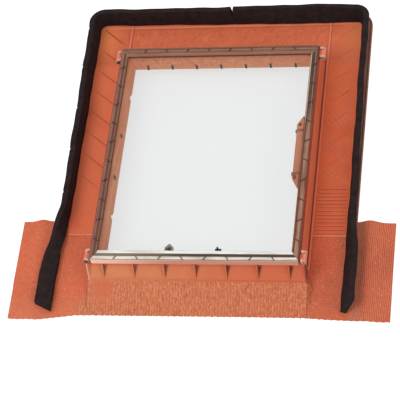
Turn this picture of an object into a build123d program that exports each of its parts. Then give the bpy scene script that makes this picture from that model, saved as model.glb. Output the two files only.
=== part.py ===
from build123d import *
import math
import os

# Roof hatch with its frame: a moulded terracotta base that carries a clear,
# twin-skinned cover on hinge pins along its left side, a foam strip round the
# flange and a pleated apron below.
# X runs across the hatch, Y up the roof and Z out of the roof.
# The model is drawn with the middle of the cover at X = Y = 0 and is moved
# along Y at the end, so that the origin lies under the middle of the whole part.

# Clear opening and the upstand round it
clear_width = 460.0
clear_length = 550.0
wall = 3.0
land_height = 80.0
land_side = 10.0
land_end = 16.0
reveal_bottom = 43.0
reveal_lean_side = 11.0
reveal_lean_end = 10.0
outer_lean = 11.0
nick_places = (198.0, -155.0)
nick_length = 24.0
nick_depth = 4.5
nick_height = 8.0

# Flange
flange_thickness = 3.0
flange_side = 116.0
flange_top = 155.0
flange_corner = 42.0
rim_width = 3.0
rim_height = 4.0
ridge_width = 5.0
ridge_gap = 4.0
ridge_height = 3.0

# Front of the frame: sloping wall, gussets, foot and cheeks
front_overhang = 29.0
foot_height = 30.0
foot_lip = 3.0
front_cheek = 10.0
knee_height = 54.0
gusset_count = 7
gusset_pitch = 77.0
gusset_thickness = 3.0
gusset_top = 11.0
gusset_reach = 10.0

# Ribs moulded on the flange
score_first = 34.0
score_pitch = 64.5
score_count = 8
score_length = 52.0
score_width = 1.6
score_height = 1.2
score_angle = 38.0
louvre_count = 13
louvre_pitch = 10.4
louvre_length = 76.0
louvre_width = 5.0
louvre_height = 1.6

# Cover, twin skinned
skirt_gap = 6.0
cover_thickness = 3.0
skirt_depth = 15.0
edge_bead = 4.0
band_side = 12.0
band_end = 19.0
bevel_run = 5.0
dome_rise = 5.0
corner_cut = 4.0
inner_pane_thickness = 2.5
inner_pane_play = 0.3
tick_pitch = 56.0
tick_slant = 7.0
tick_width = 1.8
tick_height = 3.0
lip_side = 3.0
lip_end = 9.0
lip_width = 1.2
lip_height = 1.5

# Gasket on the land
gasket_height = 3.0
gasket_squeeze = 0.3
gasket_width = 6.0

# Corner hinges
hinge_offset = 18.0
hinge_drop = 3.0
hinge_inset = 9.0
eye_radius = 6.5
lug_width = 15.0
eye_width = 7.0
eye_gap = 1.0
pin_radius = 3.0
pin_play = 0.05
pin_head_radius = 5.0
pin_head = 2.0
clip_thickness = 1.0
clip_radius = 5.5
lug_neck = 9.0
knuckle_sides = 12

# Latch on the right: a folding grip with two hooks on one shaft
latch_inset = 7.5
latch_drop = 8.0
latch_radius = 2.5
latch_hub = 3.5
grip_half = 58.0
grip_depth = 13.0
grip_back = 4.0
grip_low = 1.5
grip_thickness = 4.5
hook_width = 6.0
hook_low = 1.5
hook_thickness = 2.0
hook_reach = 16.5
toe_thickness = 3.0
toe_length = 6.0
bracket_length = 36.0
bracket_taper = 12.0
bracket_gap = 0.6
shaft_seat = 25.0
shaft_end_play = 0.5
bracket_low = 4.5
screw_radius = 1.75
screw_head = 3.2
screw_head_height = 1.8
boss_half = 3.6
boss_play = 0.1

# Strike plates that the hooks reach behind
strike_width = 34.0
strike_height = 20.0
strike_thickness = 1.5
strike_corner = 2.5
strike_screw_spacing = 24.0
slot_play = 0.8
slot_side_play = 1.5

# Turn catch and buffer on the lower edge of the cover
catch_x = -66.0
catch_inset = 12.0
catch_half_width = 11.0
catch_back = 8.0
catch_shoulder = 7.0
catch_reach = 18.0
catch_thickness = 3.5
catch_drop = 9.0
catch_pin_radius = 2.5
catch_play = 0.4
buffer_x = 57.0
buffer_bar = 15.0
buffer_width = 6.0

# Foam strip round the flange
foam_width = 15.0
foam_height = 50.0
foam_margin = 12.0
foam_corner = 30.0
foam_lean = 8.0
foam_stand_lap = 22.0
foam_tail = 262.0
foam_slit = 2.0
foam_slit_depth = 7.0
foam_slit_pitch = 125.0
foam_nick_depth = 26.0
left_tail_lean = 90.0
left_tail_shift = -9.0
right_tail_lean = 22.0
right_tail_shift = -2.0

# Apron
apron_thickness = 1.6
apron_half_width = 473.0
apron_lap = 137.0
apron_step = 36.0
apron_margin = 8.0
apron_drop = 86.0
apron_wing_drop = 98.0
apron_ramp = 16.0
apron_fold_run = 24.0
pleat_pitch = 8.0
pleat_depth = 2.2
bead_width = 6.0
bead_height = 2.0
hem_wave = 4.0

# Clips for a lining, on the lower edge of the upper reveal
lining_clip_count = 7
lining_clip_pitch = 65.0
lining_clip_width = 5.0
lining_clip_height = 13.0
lining_clip_thickness = 1.0

# Sizes that follow from the ones above
clear_x = clear_width / 2
clear_y = clear_length / 2
open_x = clear_x + reveal_lean_side
open_y = clear_y + reveal_lean_end
land_x = open_x + land_side
land_y = open_y + land_end
foot_x = land_x + outer_lean
ridge_x = foot_x + ridge_gap + ridge_width
foot_back_y = land_y + outer_lean
foot_front_y = land_y + front_overhang
front_x = foot_x + front_cheek
flange_x = foot_x + flange_side
flange_back_y = foot_back_y + flange_top
skirt_x = land_x + skirt_gap
skirt_y = land_y + skirt_gap
cover_x = skirt_x + cover_thickness
cover_y = skirt_y + cover_thickness
rim_low = land_height + gasket_height
rim_top = rim_low + cover_thickness
pane_top = rim_top + dome_rise
pane_low = pane_top - cover_thickness
inner_top = rim_top - 1.0
inner_low = inner_top - inner_pane_thickness
dome_x = skirt_x - band_side
dome_y = skirt_y - band_end
hinge_x = land_x + hinge_offset
hinge_y = land_y - hinge_inset
hinge_z = land_height - hinge_drop
latch_x = open_x - latch_inset
latch_z = inner_low - latch_drop
hook_y = grip_half + hook_width / 2
bracket_start = grip_half + hook_width + bracket_gap
shaft_half = bracket_start + shaft_seat
bracket_y = bracket_start + bracket_length / 2 - bracket_taper / 2
screw_x = latch_x - latch_radius - screw_radius - 1.5
catch_y = -(open_y - catch_inset)
catch_top = inner_low - catch_drop
catch_low = catch_top - catch_thickness
foam_outer_x = flange_x - foam_margin
foam_outer_y = flange_back_y - foam_margin
foam_top_shift = foam_height * math.sin(math.radians(foam_lean))
apron_high_y = -(foot_front_y - apron_lap)
apron_wing_y = apron_high_y + apron_step
foam_stand_y = apron_wing_y + foam_stand_lap
apron_hem_y = -(foot_front_y + foot_lip + apron_drop)
apron_wing_hem_y = -(foot_front_y + foot_lip + apron_wing_drop)
whole_front_y = apron_wing_hem_y
whole_shift = -(flange_back_y + whole_front_y) / 2

UPPER = 1
LOWER = -1
RIGHT = 1
LEFT = -1


def block(x0, x1, y0, y1, z0, z1):
    """Box between two opposite corners."""
    size = Box(abs(x1 - x0), abs(y1 - y0), abs(z1 - z0))
    return Pos((x0 + x1) / 2, (y0 + y1) / 2, (z0 + z1) / 2) * size


def frustum(x0, back0, front0, z0, x1, back1, front1, z1):
    """Tapered block between two level rectangles, each centred in X."""
    low = Pos(0, (back0 - front0) / 2, z0) * Rectangle(2 * x0, back0 + front0)
    high = Pos(0, (back1 - front1) / 2, z1) * Rectangle(2 * x1, back1 + front1)
    return loft(Sketch() + [low, high], ruled=True)


def plate_yz(points, x0, x1):
    """Plate whose outline is given in Y and Z, reaching from x0 to x1."""
    outline = make_face(Polyline(*[(x0, y, z) for y, z in points], close=True))
    return extrude(outline, amount=abs(x1 - x0), dir=(math.copysign(1, x1 - x0), 0, 0))


def plate_xy(points, z0, z1):
    """Plate whose outline is given in X and Y, reaching from z0 to z1."""
    outline = make_face(Polyline(*[(x, y, z0) for x, y in points], close=True))
    return extrude(outline, amount=z1 - z0, dir=(0, 0, 1))


def plate_xz(points, y0, y1):
    """Plate whose outline is given in X and Z, reaching from y0 to y1."""
    outline = make_face(Polyline(*[(x, y0, z) for x, z in points], close=True))
    return extrude(outline, amount=y1 - y0, dir=(0, 1, 0))


def rod_y(x, z, radius, y0, y1):
    """Round bar along Y."""
    return Pos(x, (y0 + y1) / 2, z) * Rot(90, 0, 0) * Cylinder(radius, abs(y1 - y0))


def rod_z(x, y, radius, z0, z1):
    """Upright round bar."""
    return Pos(x, y, (z0 + z1) / 2) * Cylinder(radius, abs(z1 - z0))


def many_sided_y(x, z, radius, y0, y1):
    """Twelve-sided bar along Y, for small knuckles and heads that repeat."""
    outline = Plane(origin=(x, min(y0, y1), z), x_dir=(1, 0, 0), z_dir=(0, 1, 0)) * RegularPolygon(
        radius, knuckle_sides)
    return extrude(outline, amount=abs(y1 - y0), dir=(0, 1, 0))


def many_sided_z(x, y, radius, z0, z1):
    """Upright twelve-sided bar."""
    return extrude(Pos(x, y, z0) * RegularPolygon(radius, knuckle_sides), amount=z1 - z0, dir=(0, 0, 1))


def reveal_x(z):
    """Inner face of the side reveal at a height."""
    return clear_x + reveal_lean_side * (z - reveal_bottom) / (land_height - reveal_bottom)


def reveal_y(z):
    """Inner face of the upper and lower reveals at a height."""
    return clear_y + reveal_lean_end * (z - reveal_bottom) / (land_height - reveal_bottom)


def flange():
    """Flat flange with a raised rim at its top and sides."""
    depth = flange_back_y + foot_front_y
    middle = (flange_back_y - foot_front_y) / 2
    plate = Pos(0, middle, flange_thickness / 2) * Box(2 * flange_x, depth, flange_thickness)
    top_corners = plate.edges().filter_by(Axis.Z).group_by(Axis.Y)[-1]
    plate = fillet(top_corners, flange_corner)
    inset = 2 * rim_width
    rim = extrude(plate.faces().sort_by(Axis.Z)[-1], amount=rim_height, dir=(0, 0, 1))
    hollow = Pos(0, middle - rim_width, flange_thickness + rim_height / 2) * Box(
        2 * flange_x - inset, depth, rim_height)
    hollow_corners = hollow.edges().filter_by(Axis.Z).group_by(Axis.Y)[-1]
    rim -= fillet(hollow_corners, flange_corner - rim_width)
    rim -= block(-flange_x - 1, flange_x + 1, -foot_front_y - 1, apron_wing_y + apron_margin,
                 flange_thickness, flange_thickness + rim_height + 1)
    return plate + rim


def upstand():
    """Hollow upstand, open from below, with a leaning reveal inside it."""
    outside = frustum(foot_x, foot_back_y, foot_back_y, 0, land_x, land_y, land_y, land_height)
    low_x = foot_x - wall
    low_y = foot_back_y - wall
    inside = frustum(low_x, low_y, low_y, 0, land_x - wall, land_y - wall, land_y - wall,
                     land_height - wall)
    reveal = frustum(clear_x + wall, clear_y + wall, clear_y + wall, reveal_bottom,
                     open_x + wall, open_y + wall, open_y + wall, land_height)
    return outside - inside + reveal


def opening_cut():
    """Everything that is taken away for the clear opening."""
    reveal = frustum(clear_x, clear_y, clear_y, reveal_bottom, open_x, open_y, open_y, land_height)
    through = block(-(foot_x - wall), foot_x - wall, -(foot_back_y - wall), foot_back_y - wall,
                    -1, flange_thickness + 1)
    return reveal + through


def outer_face(z):
    """Outer face of the upstand's front wall at a height."""
    return land_y + outer_lean * (land_height - z) / land_height


def gusset_outline():
    """Outline, in Y and Z, of the gussets that stand on the sloping front."""
    top_z = land_height - gusset_top
    return [(-foot_front_y, foot_height), (-(land_y + gusset_reach), top_z),
            (-outer_face(top_z) + wall / 2, top_z), (-outer_face(knee_height) + wall / 2, knee_height)]


def front():
    """Sloping front with its foot, gussets and closed ends."""
    lip = foot_front_y + foot_lip
    knee_y = -outer_face(knee_height) + wall / 2
    top_z = land_height - gusset_top
    slope = [(knee_y, knee_height), (-foot_front_y, foot_height), (-lip, foot_height), (-lip, 0),
             (-foot_front_y, 0), (-foot_front_y, foot_height - wall), (knee_y, knee_height - 1.4 * wall)]
    body = plate_yz(slope, -front_x, front_x)
    for index in range(gusset_count):
        x = (index - (gusset_count - 1) / 2) * gusset_pitch
        body += plate_yz(gusset_outline(), x - gusset_thickness / 2, x + gusset_thickness / 2)
    for side in (LEFT, RIGHT):
        cheek = [(-lip, 0), (-lip, foot_height)] + gusset_outline()[:2]
        cheek += [(knee_y + wall, top_z), (knee_y + wall, 0)]
        body += plate_yz(cheek, side * (front_x - wall), side * front_x)
        body += block(side * (land_x - wall), side * front_x, knee_y, knee_y + wall, 0, top_z)
    return body


def ridges():
    """Raised ridges a little away from the upstand that run up to the foam strip."""
    top = flange_thickness + ridge_height
    behind = foot_back_y + ridge_gap
    body = block(-ridge_x, ridge_x, behind, behind + ridge_width, flange_thickness, top)
    for side in (LEFT, RIGHT):
        body += block(side * (ridge_x - ridge_width), side * ridge_x, -foot_front_y,
                      foam_outer_y - foam_width, flange_thickness, top)
    return body


def flange_ribs():
    """Diagonal ribs on both sides of the flange and a field of level ribs."""
    middle = (ridge_x + foam_outer_x - foam_width) / 2
    first = foam_outer_y - foam_width - score_first
    body = []
    for side in (LEFT, RIGHT):
        for index in range(score_count):
            y = first - index * score_pitch
            if side == RIGHT and y - score_length / 2 < apron_high_y + louvre_count * louvre_pitch:
                continue
            rib = Box(score_length, score_width, score_height)
            lift = flange_thickness + score_height / 2
            body.append(Pos(side * middle, y, lift) * Rot(0, 0, side * score_angle) * rib)
    for index in range(louvre_count):
        y = apron_high_y + louvre_pitch * (index + 0.75)
        rib = Box(louvre_length, louvre_width, louvre_height)
        rib = chamfer(rib.faces().sort_by(Axis.Z)[-1].edges().filter_by(Axis.X), louvre_height * 0.6)
        body.append(Pos(middle, y, flange_thickness + louvre_height / 2) * rib)
    return body


def corner_lug(side, end):
    """Lug of the frame that stands between the two eyes of the cover."""
    y = end * hinge_y
    half = lug_width / 2
    neck = [(side * (land_x - wall + 1), hinge_z + lug_neck / 2),
            (side * hinge_x, hinge_z + lug_neck / 2),
            (side * hinge_x, hinge_z - lug_neck / 2),
            (side * (land_x + 1), hinge_z - 2.5 * lug_neck),
            (side * (land_x - wall + 1), hinge_z - 2.5 * lug_neck)]
    body = plate_xz(neck, y - half, y + half)
    body += many_sided_y(side * hinge_x, hinge_z, eye_radius, y - half, y + half)
    return body - pin_bore(side, pin_radius, y - half - 1, y + half + 1)


def pin_bore(side, radius, y0, y1):
    """Bore for a hinge pin: round on the side that is hung, many-sided on the spare side."""
    bore = rod_y if side == LEFT else many_sided_y
    return bore(side * hinge_x, hinge_z, radius, y0, y1)


def toe_height():
    """Level of the middle of a hook's toe when the latch is turned down."""
    return latch_z - hook_reach + toe_thickness / 2


def strike_plane(end):
    """Plane on the reveal's face in the middle of a strike plate, facing inward."""
    z = toe_height()
    run = reveal_lean_side
    rise = land_height - reveal_bottom
    length = math.hypot(run, rise)
    origin = (reveal_x(z), end * hook_y, z)
    return Plane(origin=origin, x_dir=(0, 1, 0), z_dir=(-rise / length, 0, run / length))


def toe_sweep():
    """Lowest and highest level of a toe while it passes the reveal's face."""
    tip = math.hypot(toe_length, hook_reach)
    return latch_z - tip, latch_z - hook_reach + toe_thickness


def strike_slot(end, depth):
    """Slot that lets a hook's toe reach behind the reveal."""
    low, high = toe_sweep()
    z0 = low - slot_play
    z1 = high + slot_play
    half = hook_width / 2 + slot_side_play
    y = end * hook_y
    inner = reveal_x(z0) - 2 * strike_thickness - 1
    return block(inner, reveal_x(z1) + depth, y - half, y + half, z0, z1)


def reveal_nick(y):
    """Slanting nick that wear has left in the lower edge of the left reveal."""
    edge = -(clear_x - 1)
    outline = [(edge, y), (edge, y - nick_length), (edge - nick_depth - 1, y - 0.35 * nick_length)]
    return plate_xy(outline, reveal_bottom - 1, reveal_bottom + nick_height)


def catch_slot():
    """Slot in the lower reveal that the turn catch swings into."""
    half = catch_reach + 1
    z0 = catch_low - slot_play
    z1 = catch_top + slot_play
    return block(catch_x - half, catch_x + half, -(open_y + wall + 1), -(clear_y - 1), z0, z1)


def base_frame():
    """One moulding: flange, upstand, reveal, front and hinge lugs."""
    body = flange() + upstand() - opening_cut() + front() + ridges()
    for rib in flange_ribs():
        body += rib
    for side in (LEFT, RIGHT):
        for end in (LOWER, UPPER):
            body += corner_lug(side, end)
    for end in (LOWER, UPPER):
        body -= strike_slot(end, wall + 2)
        for offset in (-1, 1):
            body -= screw_bore(strike_screw_place(end, offset), screw_radius - 0.5)
        for spread in (-1, 1):
            y = end * hook_y + spread * strike_screw_spacing / 2
            z = toe_height()
            body -= screw_bore(Pos(-reveal_x(z), y, z) * Rot(0, 90, 0), screw_radius - 0.5)
    for y in nick_places:
        body -= reveal_nick(y)
    return body - catch_slot()


def rim_gasket():
    """Soft gasket that lies on the land."""
    x = open_x + (land_side - gasket_width) / 2
    y = open_y + (land_side - gasket_width) / 2
    top = land_height + gasket_height - gasket_squeeze
    outer = block(-x - gasket_width, x + gasket_width, -y - gasket_width, y + gasket_width,
                  land_height, top)
    return outer - block(-x, x, -y, y, land_height - 1, top + 1)


def lining_clips():
    """Row of small clips pushed onto the lower edge of the upper reveal."""
    clips = []
    t = lining_clip_thickness
    top = reveal_bottom + lining_clip_height
    lean = reveal_y(top) - reveal_y(reveal_bottom)
    inner = clear_y
    outline = [(inner - t, reveal_bottom - t), (inner + wall + t, reveal_bottom - t),
               (inner + wall + t + lean, top), (inner + wall + lean, top),
               (inner + wall, reveal_bottom), (inner, reveal_bottom), (inner + lean, top),
               (inner + lean - t, top)]
    for index in range(lining_clip_count):
        x = (index - (lining_clip_count - 1) / 2) * lining_clip_pitch
        clips.append(plate_yz(outline, x - lining_clip_width / 2, x + lining_clip_width / 2))
    return clips


def cover_skins():
    """Raised pane, sloping border, level rim and hanging skirt in one piece."""
    low = rim_top - cover_thickness
    skirt_low = rim_top - skirt_depth
    outer = chamfer(Rectangle(2 * cover_x, 2 * cover_y).vertices(), corner_cut)
    body = extrude(Pos(0, 0, skirt_low) * outer, amount=rim_top + edge_bead - skirt_low, dir=(0, 0, 1))
    inner = chamfer(Rectangle(2 * skirt_x, 2 * skirt_y).vertices(), corner_cut - cover_thickness / 2)
    body -= extrude(Pos(0, 0, rim_top) * inner, amount=edge_bead, dir=(0, 0, 1))
    body -= extrude(Pos(0, 0, skirt_low) * inner, amount=low - skirt_low, dir=(0, 0, 1))
    body += trough_lip()
    body += frustum(dome_x, dome_y, dome_y, rim_top - cover_thickness / 2,
                    dome_x - bevel_run, dome_y - bevel_run, dome_y - bevel_run, pane_top)
    inside = cover_thickness / 2
    body -= frustum(dome_x - inside, dome_y - inside, dome_y - inside, low,
                    dome_x - bevel_run - inside, dome_y - bevel_run - inside,
                    dome_y - bevel_run - inside, pane_low)
    return body


def trough_lip():
    """Low lip that runs round in the trough, wider away from the edge at the two ends."""
    x = skirt_x - lip_side
    y = skirt_y - lip_end
    top = rim_top + lip_height
    outer = block(-x, x, -y, y, rim_top, top)
    return outer - block(-x + lip_width, x - lip_width, -y + lip_width, y - lip_width, rim_top, top)


def ticks():
    """Slanting ribs in the trough round the pane, leaning by turns to either side."""
    lift = rim_top + tick_height / 2
    ribs = []
    runs = ((2 * cover_x, lip_end, skirt_y - lip_end / 2, 0),
            (2 * cover_y, band_side, skirt_x - band_side / 2, 90))
    for length, width, offset, turn in runs:
        count = int((length - 2 * width - tick_pitch / 2) / tick_pitch)
        slope = math.degrees(math.atan2(tick_slant, width))
        for side in (LEFT, RIGHT):
            for index in range(count):
                along = (index - (count - 1) / 2) * tick_pitch
                lean = slope if index % 2 else -slope
                rib = Box(tick_width, width / math.cos(math.radians(slope)), tick_height)
                rib = Pos(along, side * offset, lift) * Rot(0, 0, lean) * rib
                ribs.append(Rot(0, 0, turn) * rib)
    return ribs


def cover_eye(side, end, inner):
    """One of the two eyes that stand out from a side of the cover near a corner."""
    near = lug_width / 2 + eye_gap
    y0 = end * hinge_y + inner * near
    y1 = y0 + inner * eye_width
    neck = [(side * (skirt_x + cover_thickness / 2), rim_top), (side * (cover_x + 1), rim_top),
            (side * hinge_x, hinge_z + eye_radius), (side * hinge_x, hinge_z - eye_radius * 0.7),
            (side * (skirt_x + cover_thickness / 2), hinge_z - eye_radius * 0.7)]
    body = plate_xz(neck, min(y0, y1), max(y0, y1))
    return body + many_sided_y(side * hinge_x, hinge_z, eye_radius, y0, y1)


def cover():
    """Clear outer skin with its rim, skirt, hinge eyes and bosses."""
    body = cover_skins()
    for rib in ticks():
        body += rib
    low = rim_top - skirt_depth
    for side in (LEFT, RIGHT):
        for end in (LOWER, UPPER):
            half = lug_width / 2 + eye_gap
            y = end * hinge_y
            body -= block(side * (skirt_x - 1), side * (cover_x + 1), y - half, y + half, low - 1,
                          rim_top - cover_thickness)
            for inner in (-1, 1):
                body += cover_eye(side, end, inner)
            reach = lug_width / 2 + eye_gap + eye_width + 1
            body -= pin_bore(side, pin_radius + pin_play, y - reach, y + reach)
    for x, y in boss_places():
        body += boss_pad(x, y, boss_half, inner_low, pane_low + cover_thickness / 2)
        bore = rod_z if x == catch_x else many_sided_z
        body -= bore(x, y, boss_pilot(x), inner_low - 1, pane_low)
    return body


def boss_pad(x, y, half, z0, z1):
    """Square post that carries one fixing."""
    return block(x - half, x + half, y - half, y + half, z0, z1)


def boss_places():
    """Bosses under the outer skin that take the latch, catch and buffer fixings."""
    places = [(screw_x, LOWER * bracket_y), (screw_x, UPPER * bracket_y)]
    places += [(-screw_x, LOWER * bracket_y), (-screw_x, UPPER * bracket_y)]
    return places + [(catch_x, catch_y), (buffer_x, catch_y)]


def boss_pilot(x):
    """Bore of a boss: the catch and the buffer have thicker stems than a screw."""
    return catch_pin_radius if x in (catch_x, buffer_x) else screw_radius


def inner_pane():
    """Flat inner skin, seated inside the sloping border of the cover."""
    lean = bevel_run / (pane_low - (rim_top - cover_thickness))
    inset = cover_thickness / 2 + lean * (inner_top - rim_top + cover_thickness) + inner_pane_play
    x = dome_x - inset
    y = dome_y - inset
    body = block(-x, x, -y, y, inner_low, inner_top)
    for place_x, place_y in boss_places():
        body -= boss_pad(place_x, place_y, boss_half + boss_play, inner_low - 1, inner_top + 1)
    return body


def hinge_pin(end):
    """Headed pin through a lug and its two eyes on the left side."""
    half = lug_width / 2 + eye_gap + eye_width + eye_gap
    y = end * hinge_y
    pin = rod_y(-hinge_x, hinge_z, pin_radius, y - half, y + half + 2 * clip_thickness)
    return pin + many_sided_y(-hinge_x, hinge_z, pin_head_radius, y - half - pin_head, y - half)


def pin_clips():
    """Spring clips pushed onto the ends of the hinge pins."""
    clips = []
    half = lug_width / 2 + eye_gap + eye_width + eye_gap
    for end in (LOWER, UPPER):
        y0 = end * hinge_y + half
        clip = many_sided_y(-hinge_x, hinge_z, clip_radius, y0, y0 + clip_thickness)
        clip -= rod_y(-hinge_x, hinge_z, pin_radius, y0 - 1, y0 + clip_thickness + 1)
        mouth = block(-hinge_x - clip_radius, -hinge_x, y0 - 1, y0 + clip_thickness + 1,
                      hinge_z - 1.6, hinge_z + 1.6)
        clips.append(clip - mouth)
    return clips


def latch_shaft():
    """Steel shaft that carries the grip and the hooks."""
    return rod_y(latch_x, latch_z, latch_radius, -shaft_half, shaft_half)


def latch_grip():
    """Folding grip: a flat lever on a barrel, with a turned-down free edge."""
    x0 = latch_x - grip_depth
    x1 = latch_x + grip_back
    z0 = latch_z + grip_low
    z1 = z0 + grip_thickness
    body = block(x0, x1, -grip_half, grip_half, z0, z1)
    edge = body.edges().filter_by(Axis.Y).sort_by(Axis.X)[:2]
    body = fillet(edge, grip_thickness * 0.4)
    body += rod_y(latch_x, latch_z, latch_hub, -grip_half, grip_half)
    return body - rod_y(latch_x, latch_z, latch_radius, -grip_half - 1, grip_half + 1)


def latch_hook(end):
    """Hook keyed on the shaft beside the grip, drawn in the released position."""
    y0 = end * grip_half
    y1 = y0 + end * hook_width
    tip = latch_x - hook_reach
    z1 = latch_z + hook_low + hook_thickness
    outline = [(latch_x, z1), (tip, z1), (tip, latch_z - toe_length + 1.2),
               (tip + 1.2, latch_z - toe_length), (tip + toe_thickness, latch_z - toe_length + 1.5),
               (tip + toe_thickness, latch_z + hook_low), (latch_x, latch_z + hook_low)]
    body = plate_xz(outline, min(y0, y1), max(y0, y1))
    body += rod_y(latch_x, latch_z, latch_hub, y0, y1)
    return body - rod_y(latch_x, latch_z, latch_radius, min(y0, y1) - 1, max(y0, y1) + 1)


def latch_bracket(end):
    """Tapered end block that holds the shaft under the cover."""
    x0 = latch_x - grip_depth
    x1 = latch_x + grip_back
    y0 = end * bracket_start
    y1 = end * (bracket_start + bracket_length)
    outline = [(x1, y0), (x1, y1), (x1 - 3, y1), (x0, y0 + end * bracket_taper), (x0, y0)]
    body = plate_xy(outline, latch_z - bracket_low, inner_low)
    seat_end = end * (shaft_half + shaft_end_play)
    body -= rod_y(latch_x, latch_z, latch_radius + pin_play, y0 - end, seat_end)
    screw_y = end * bracket_y
    body -= rod_z(screw_x, screw_y, screw_radius + 0.15, latch_z - bracket_low - 1, inner_low + 1)
    return body


def bracket_screws():
    """Screws that hold the latch brackets up against the bosses."""
    low = latch_z - bracket_low
    screws = []
    for end in (LOWER, UPPER):
        y = end * bracket_y
        screw = many_sided_z(screw_x, y, screw_radius, low, pane_low - 1)
        screws.append(screw + many_sided_z(screw_x, y, screw_head, low - screw_head_height, low))
    return screws


def strike_screw_place(end, offset):
    """Place of one screw of a strike plate on the reveal's face."""
    return strike_plane(end) * Pos(offset * strike_screw_spacing / 2, 0, 0)


def screw_bore(place, radius):
    """Small screw bore through a wall, along a place's own axis."""
    return extrude(place * RegularPolygon(radius, knuckle_sides), amount=2 * wall, both=True)


def strike_plate(end):
    """Steel plate on the right reveal with the slot for a hook."""
    outline = chamfer(Rectangle(strike_width, strike_height).vertices(), strike_corner)
    plate = extrude(strike_plane(end) * outline, amount=strike_thickness)
    plate -= strike_slot(end, 0)
    for offset in (-1, 1):
        plate -= screw_bore(strike_screw_place(end, offset), screw_radius)
    return plate


def strike_screws():
    """Flat-headed screws of the strike plates."""
    screws = []
    for end in (LOWER, UPPER):
        for offset in (-1, 1):
            place = strike_screw_place(end, offset)
            shank = extrude(place * RegularPolygon(screw_radius - 0.5, knuckle_sides), amount=-2 * wall)
            head = extrude(place * RegularPolygon(screw_radius, knuckle_sides), amount=strike_thickness)
            screws.append(shank + head)
    return screws


def turn_catch():
    """Pointed turn button, drawn pointing into the opening."""
    w = catch_half_width
    y = catch_y
    outline = [(catch_x - w, y - catch_back), (catch_x + w, y - catch_back),
               (catch_x + w, y + catch_shoulder), (catch_x, y + catch_reach),
               (catch_x - w, y + catch_shoulder)]
    body = plate_xy(outline, catch_low, catch_top)
    rear = body.edges().filter_by(Axis.Z).sort_by(Axis.Y)[:2]
    body = fillet(rear, 4.0)
    return body - rod_z(catch_x, y, catch_pin_radius + pin_play, catch_low - 1, catch_top + 1)


def catch_pin():
    """Headed pivot of the turn catch."""
    head = many_sided_z(catch_x, catch_y, 2 * catch_pin_radius, catch_low - catch_play - pin_head,
                        catch_low - catch_play)
    return head + rod_z(catch_x, catch_y, catch_pin_radius, catch_low - catch_play, pane_low - 1)


def catch_bush():
    """Spacer between the inner skin and the turn catch."""
    low = catch_top + catch_play
    body = many_sided_z(catch_x, catch_y, catch_pin_radius + 2, low, inner_low)
    return body - rod_z(catch_x, catch_y, catch_pin_radius, low - 1, inner_low + 1)


def buffer_peg():
    """Small T-shaped rubber buffer beside the turn catch."""
    low = inner_low - 6
    stem = many_sided_z(buffer_x, catch_y, catch_pin_radius, low, pane_low - 1)
    half = buffer_bar / 2
    return stem + block(buffer_x - half, buffer_x + half, catch_y - buffer_width / 2,
                        catch_y + buffer_width / 2, low - buffer_width / 2, low)


def foam_section(side, y, outer_x, lean, base):
    """Section of the strip, turned outward about its lower outer edge."""
    turn = math.radians(lean)
    across = (-math.cos(turn), math.sin(turn))
    up = (math.sin(turn), math.cos(turn))
    corners = []
    for a, b in ((0, 0), (foam_width, 0), (foam_width, foam_height), (0, foam_height)):
        x = outer_x + a * across[0] + b * up[0]
        corners.append((side * x, y, base + a * across[1] + b * up[1]))
    return make_face(Polyline(*corners, close=True))


def foam_tail_solid(side, lean, shift):
    """Loose end of the strip, falling outward onto the apron."""
    lap = apron_wing_y
    base = flange_thickness
    over = flange_thickness + apron_thickness + 0.3
    stations = [(foam_stand_y, 0.0, foam_lean, base),
                (lap + 2, 0.0, foam_lean + 0.06 * lean, over),
                (lap - 30, 0.4 * shift, max(foam_lean, 0.65 * lean), over),
                (lap - 62, shift, lean, over), (foam_stand_y - foam_tail, shift, lean, over)]
    sections = [foam_section(side, y, foam_outer_x + x, a, z) for y, x, a, z in stations]
    return loft(Sketch() + sections, ruled=True)


def foam_seal():
    """Foam strip that stands inside the rim and falls over at both loose ends."""
    path = FilletPolyline((-foam_outer_x, foam_stand_y, flange_thickness),
                          (-foam_outer_x, foam_outer_y, flange_thickness),
                          (foam_outer_x, foam_outer_y, flange_thickness),
                          (foam_outer_x, foam_stand_y, flange_thickness), radius=foam_corner)
    section = foam_section(LEFT, foam_stand_y, foam_outer_x, foam_lean, flange_thickness)
    body = sweep(section, path=path)
    body += foam_tail_solid(LEFT, left_tail_lean, left_tail_shift)
    body += foam_tail_solid(RIGHT, right_tail_lean, right_tail_shift)
    top = flange_thickness + foam_height
    crown_x = foam_outer_x + foam_top_shift
    slits = int((foam_outer_y - foam_stand_y - foam_corner) / foam_slit_pitch)
    for index in range(slits):
        y = foam_outer_y - foam_corner - (index + 0.2) * foam_slit_pitch
        body -= block(-crown_x - 1, -crown_x + foam_width / 3, y - foam_slit / 2,
                      y + foam_slit / 2, top - foam_slit_depth, top + foam_width)
    nick = [(4, top + foam_width), (11, top + foam_width), (9, top - foam_nick_depth),
            (7, top - foam_nick_depth)]
    return body - plate_xz(nick, foam_outer_y - foam_width - 1, foam_outer_y + foam_top_shift + 1)


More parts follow.
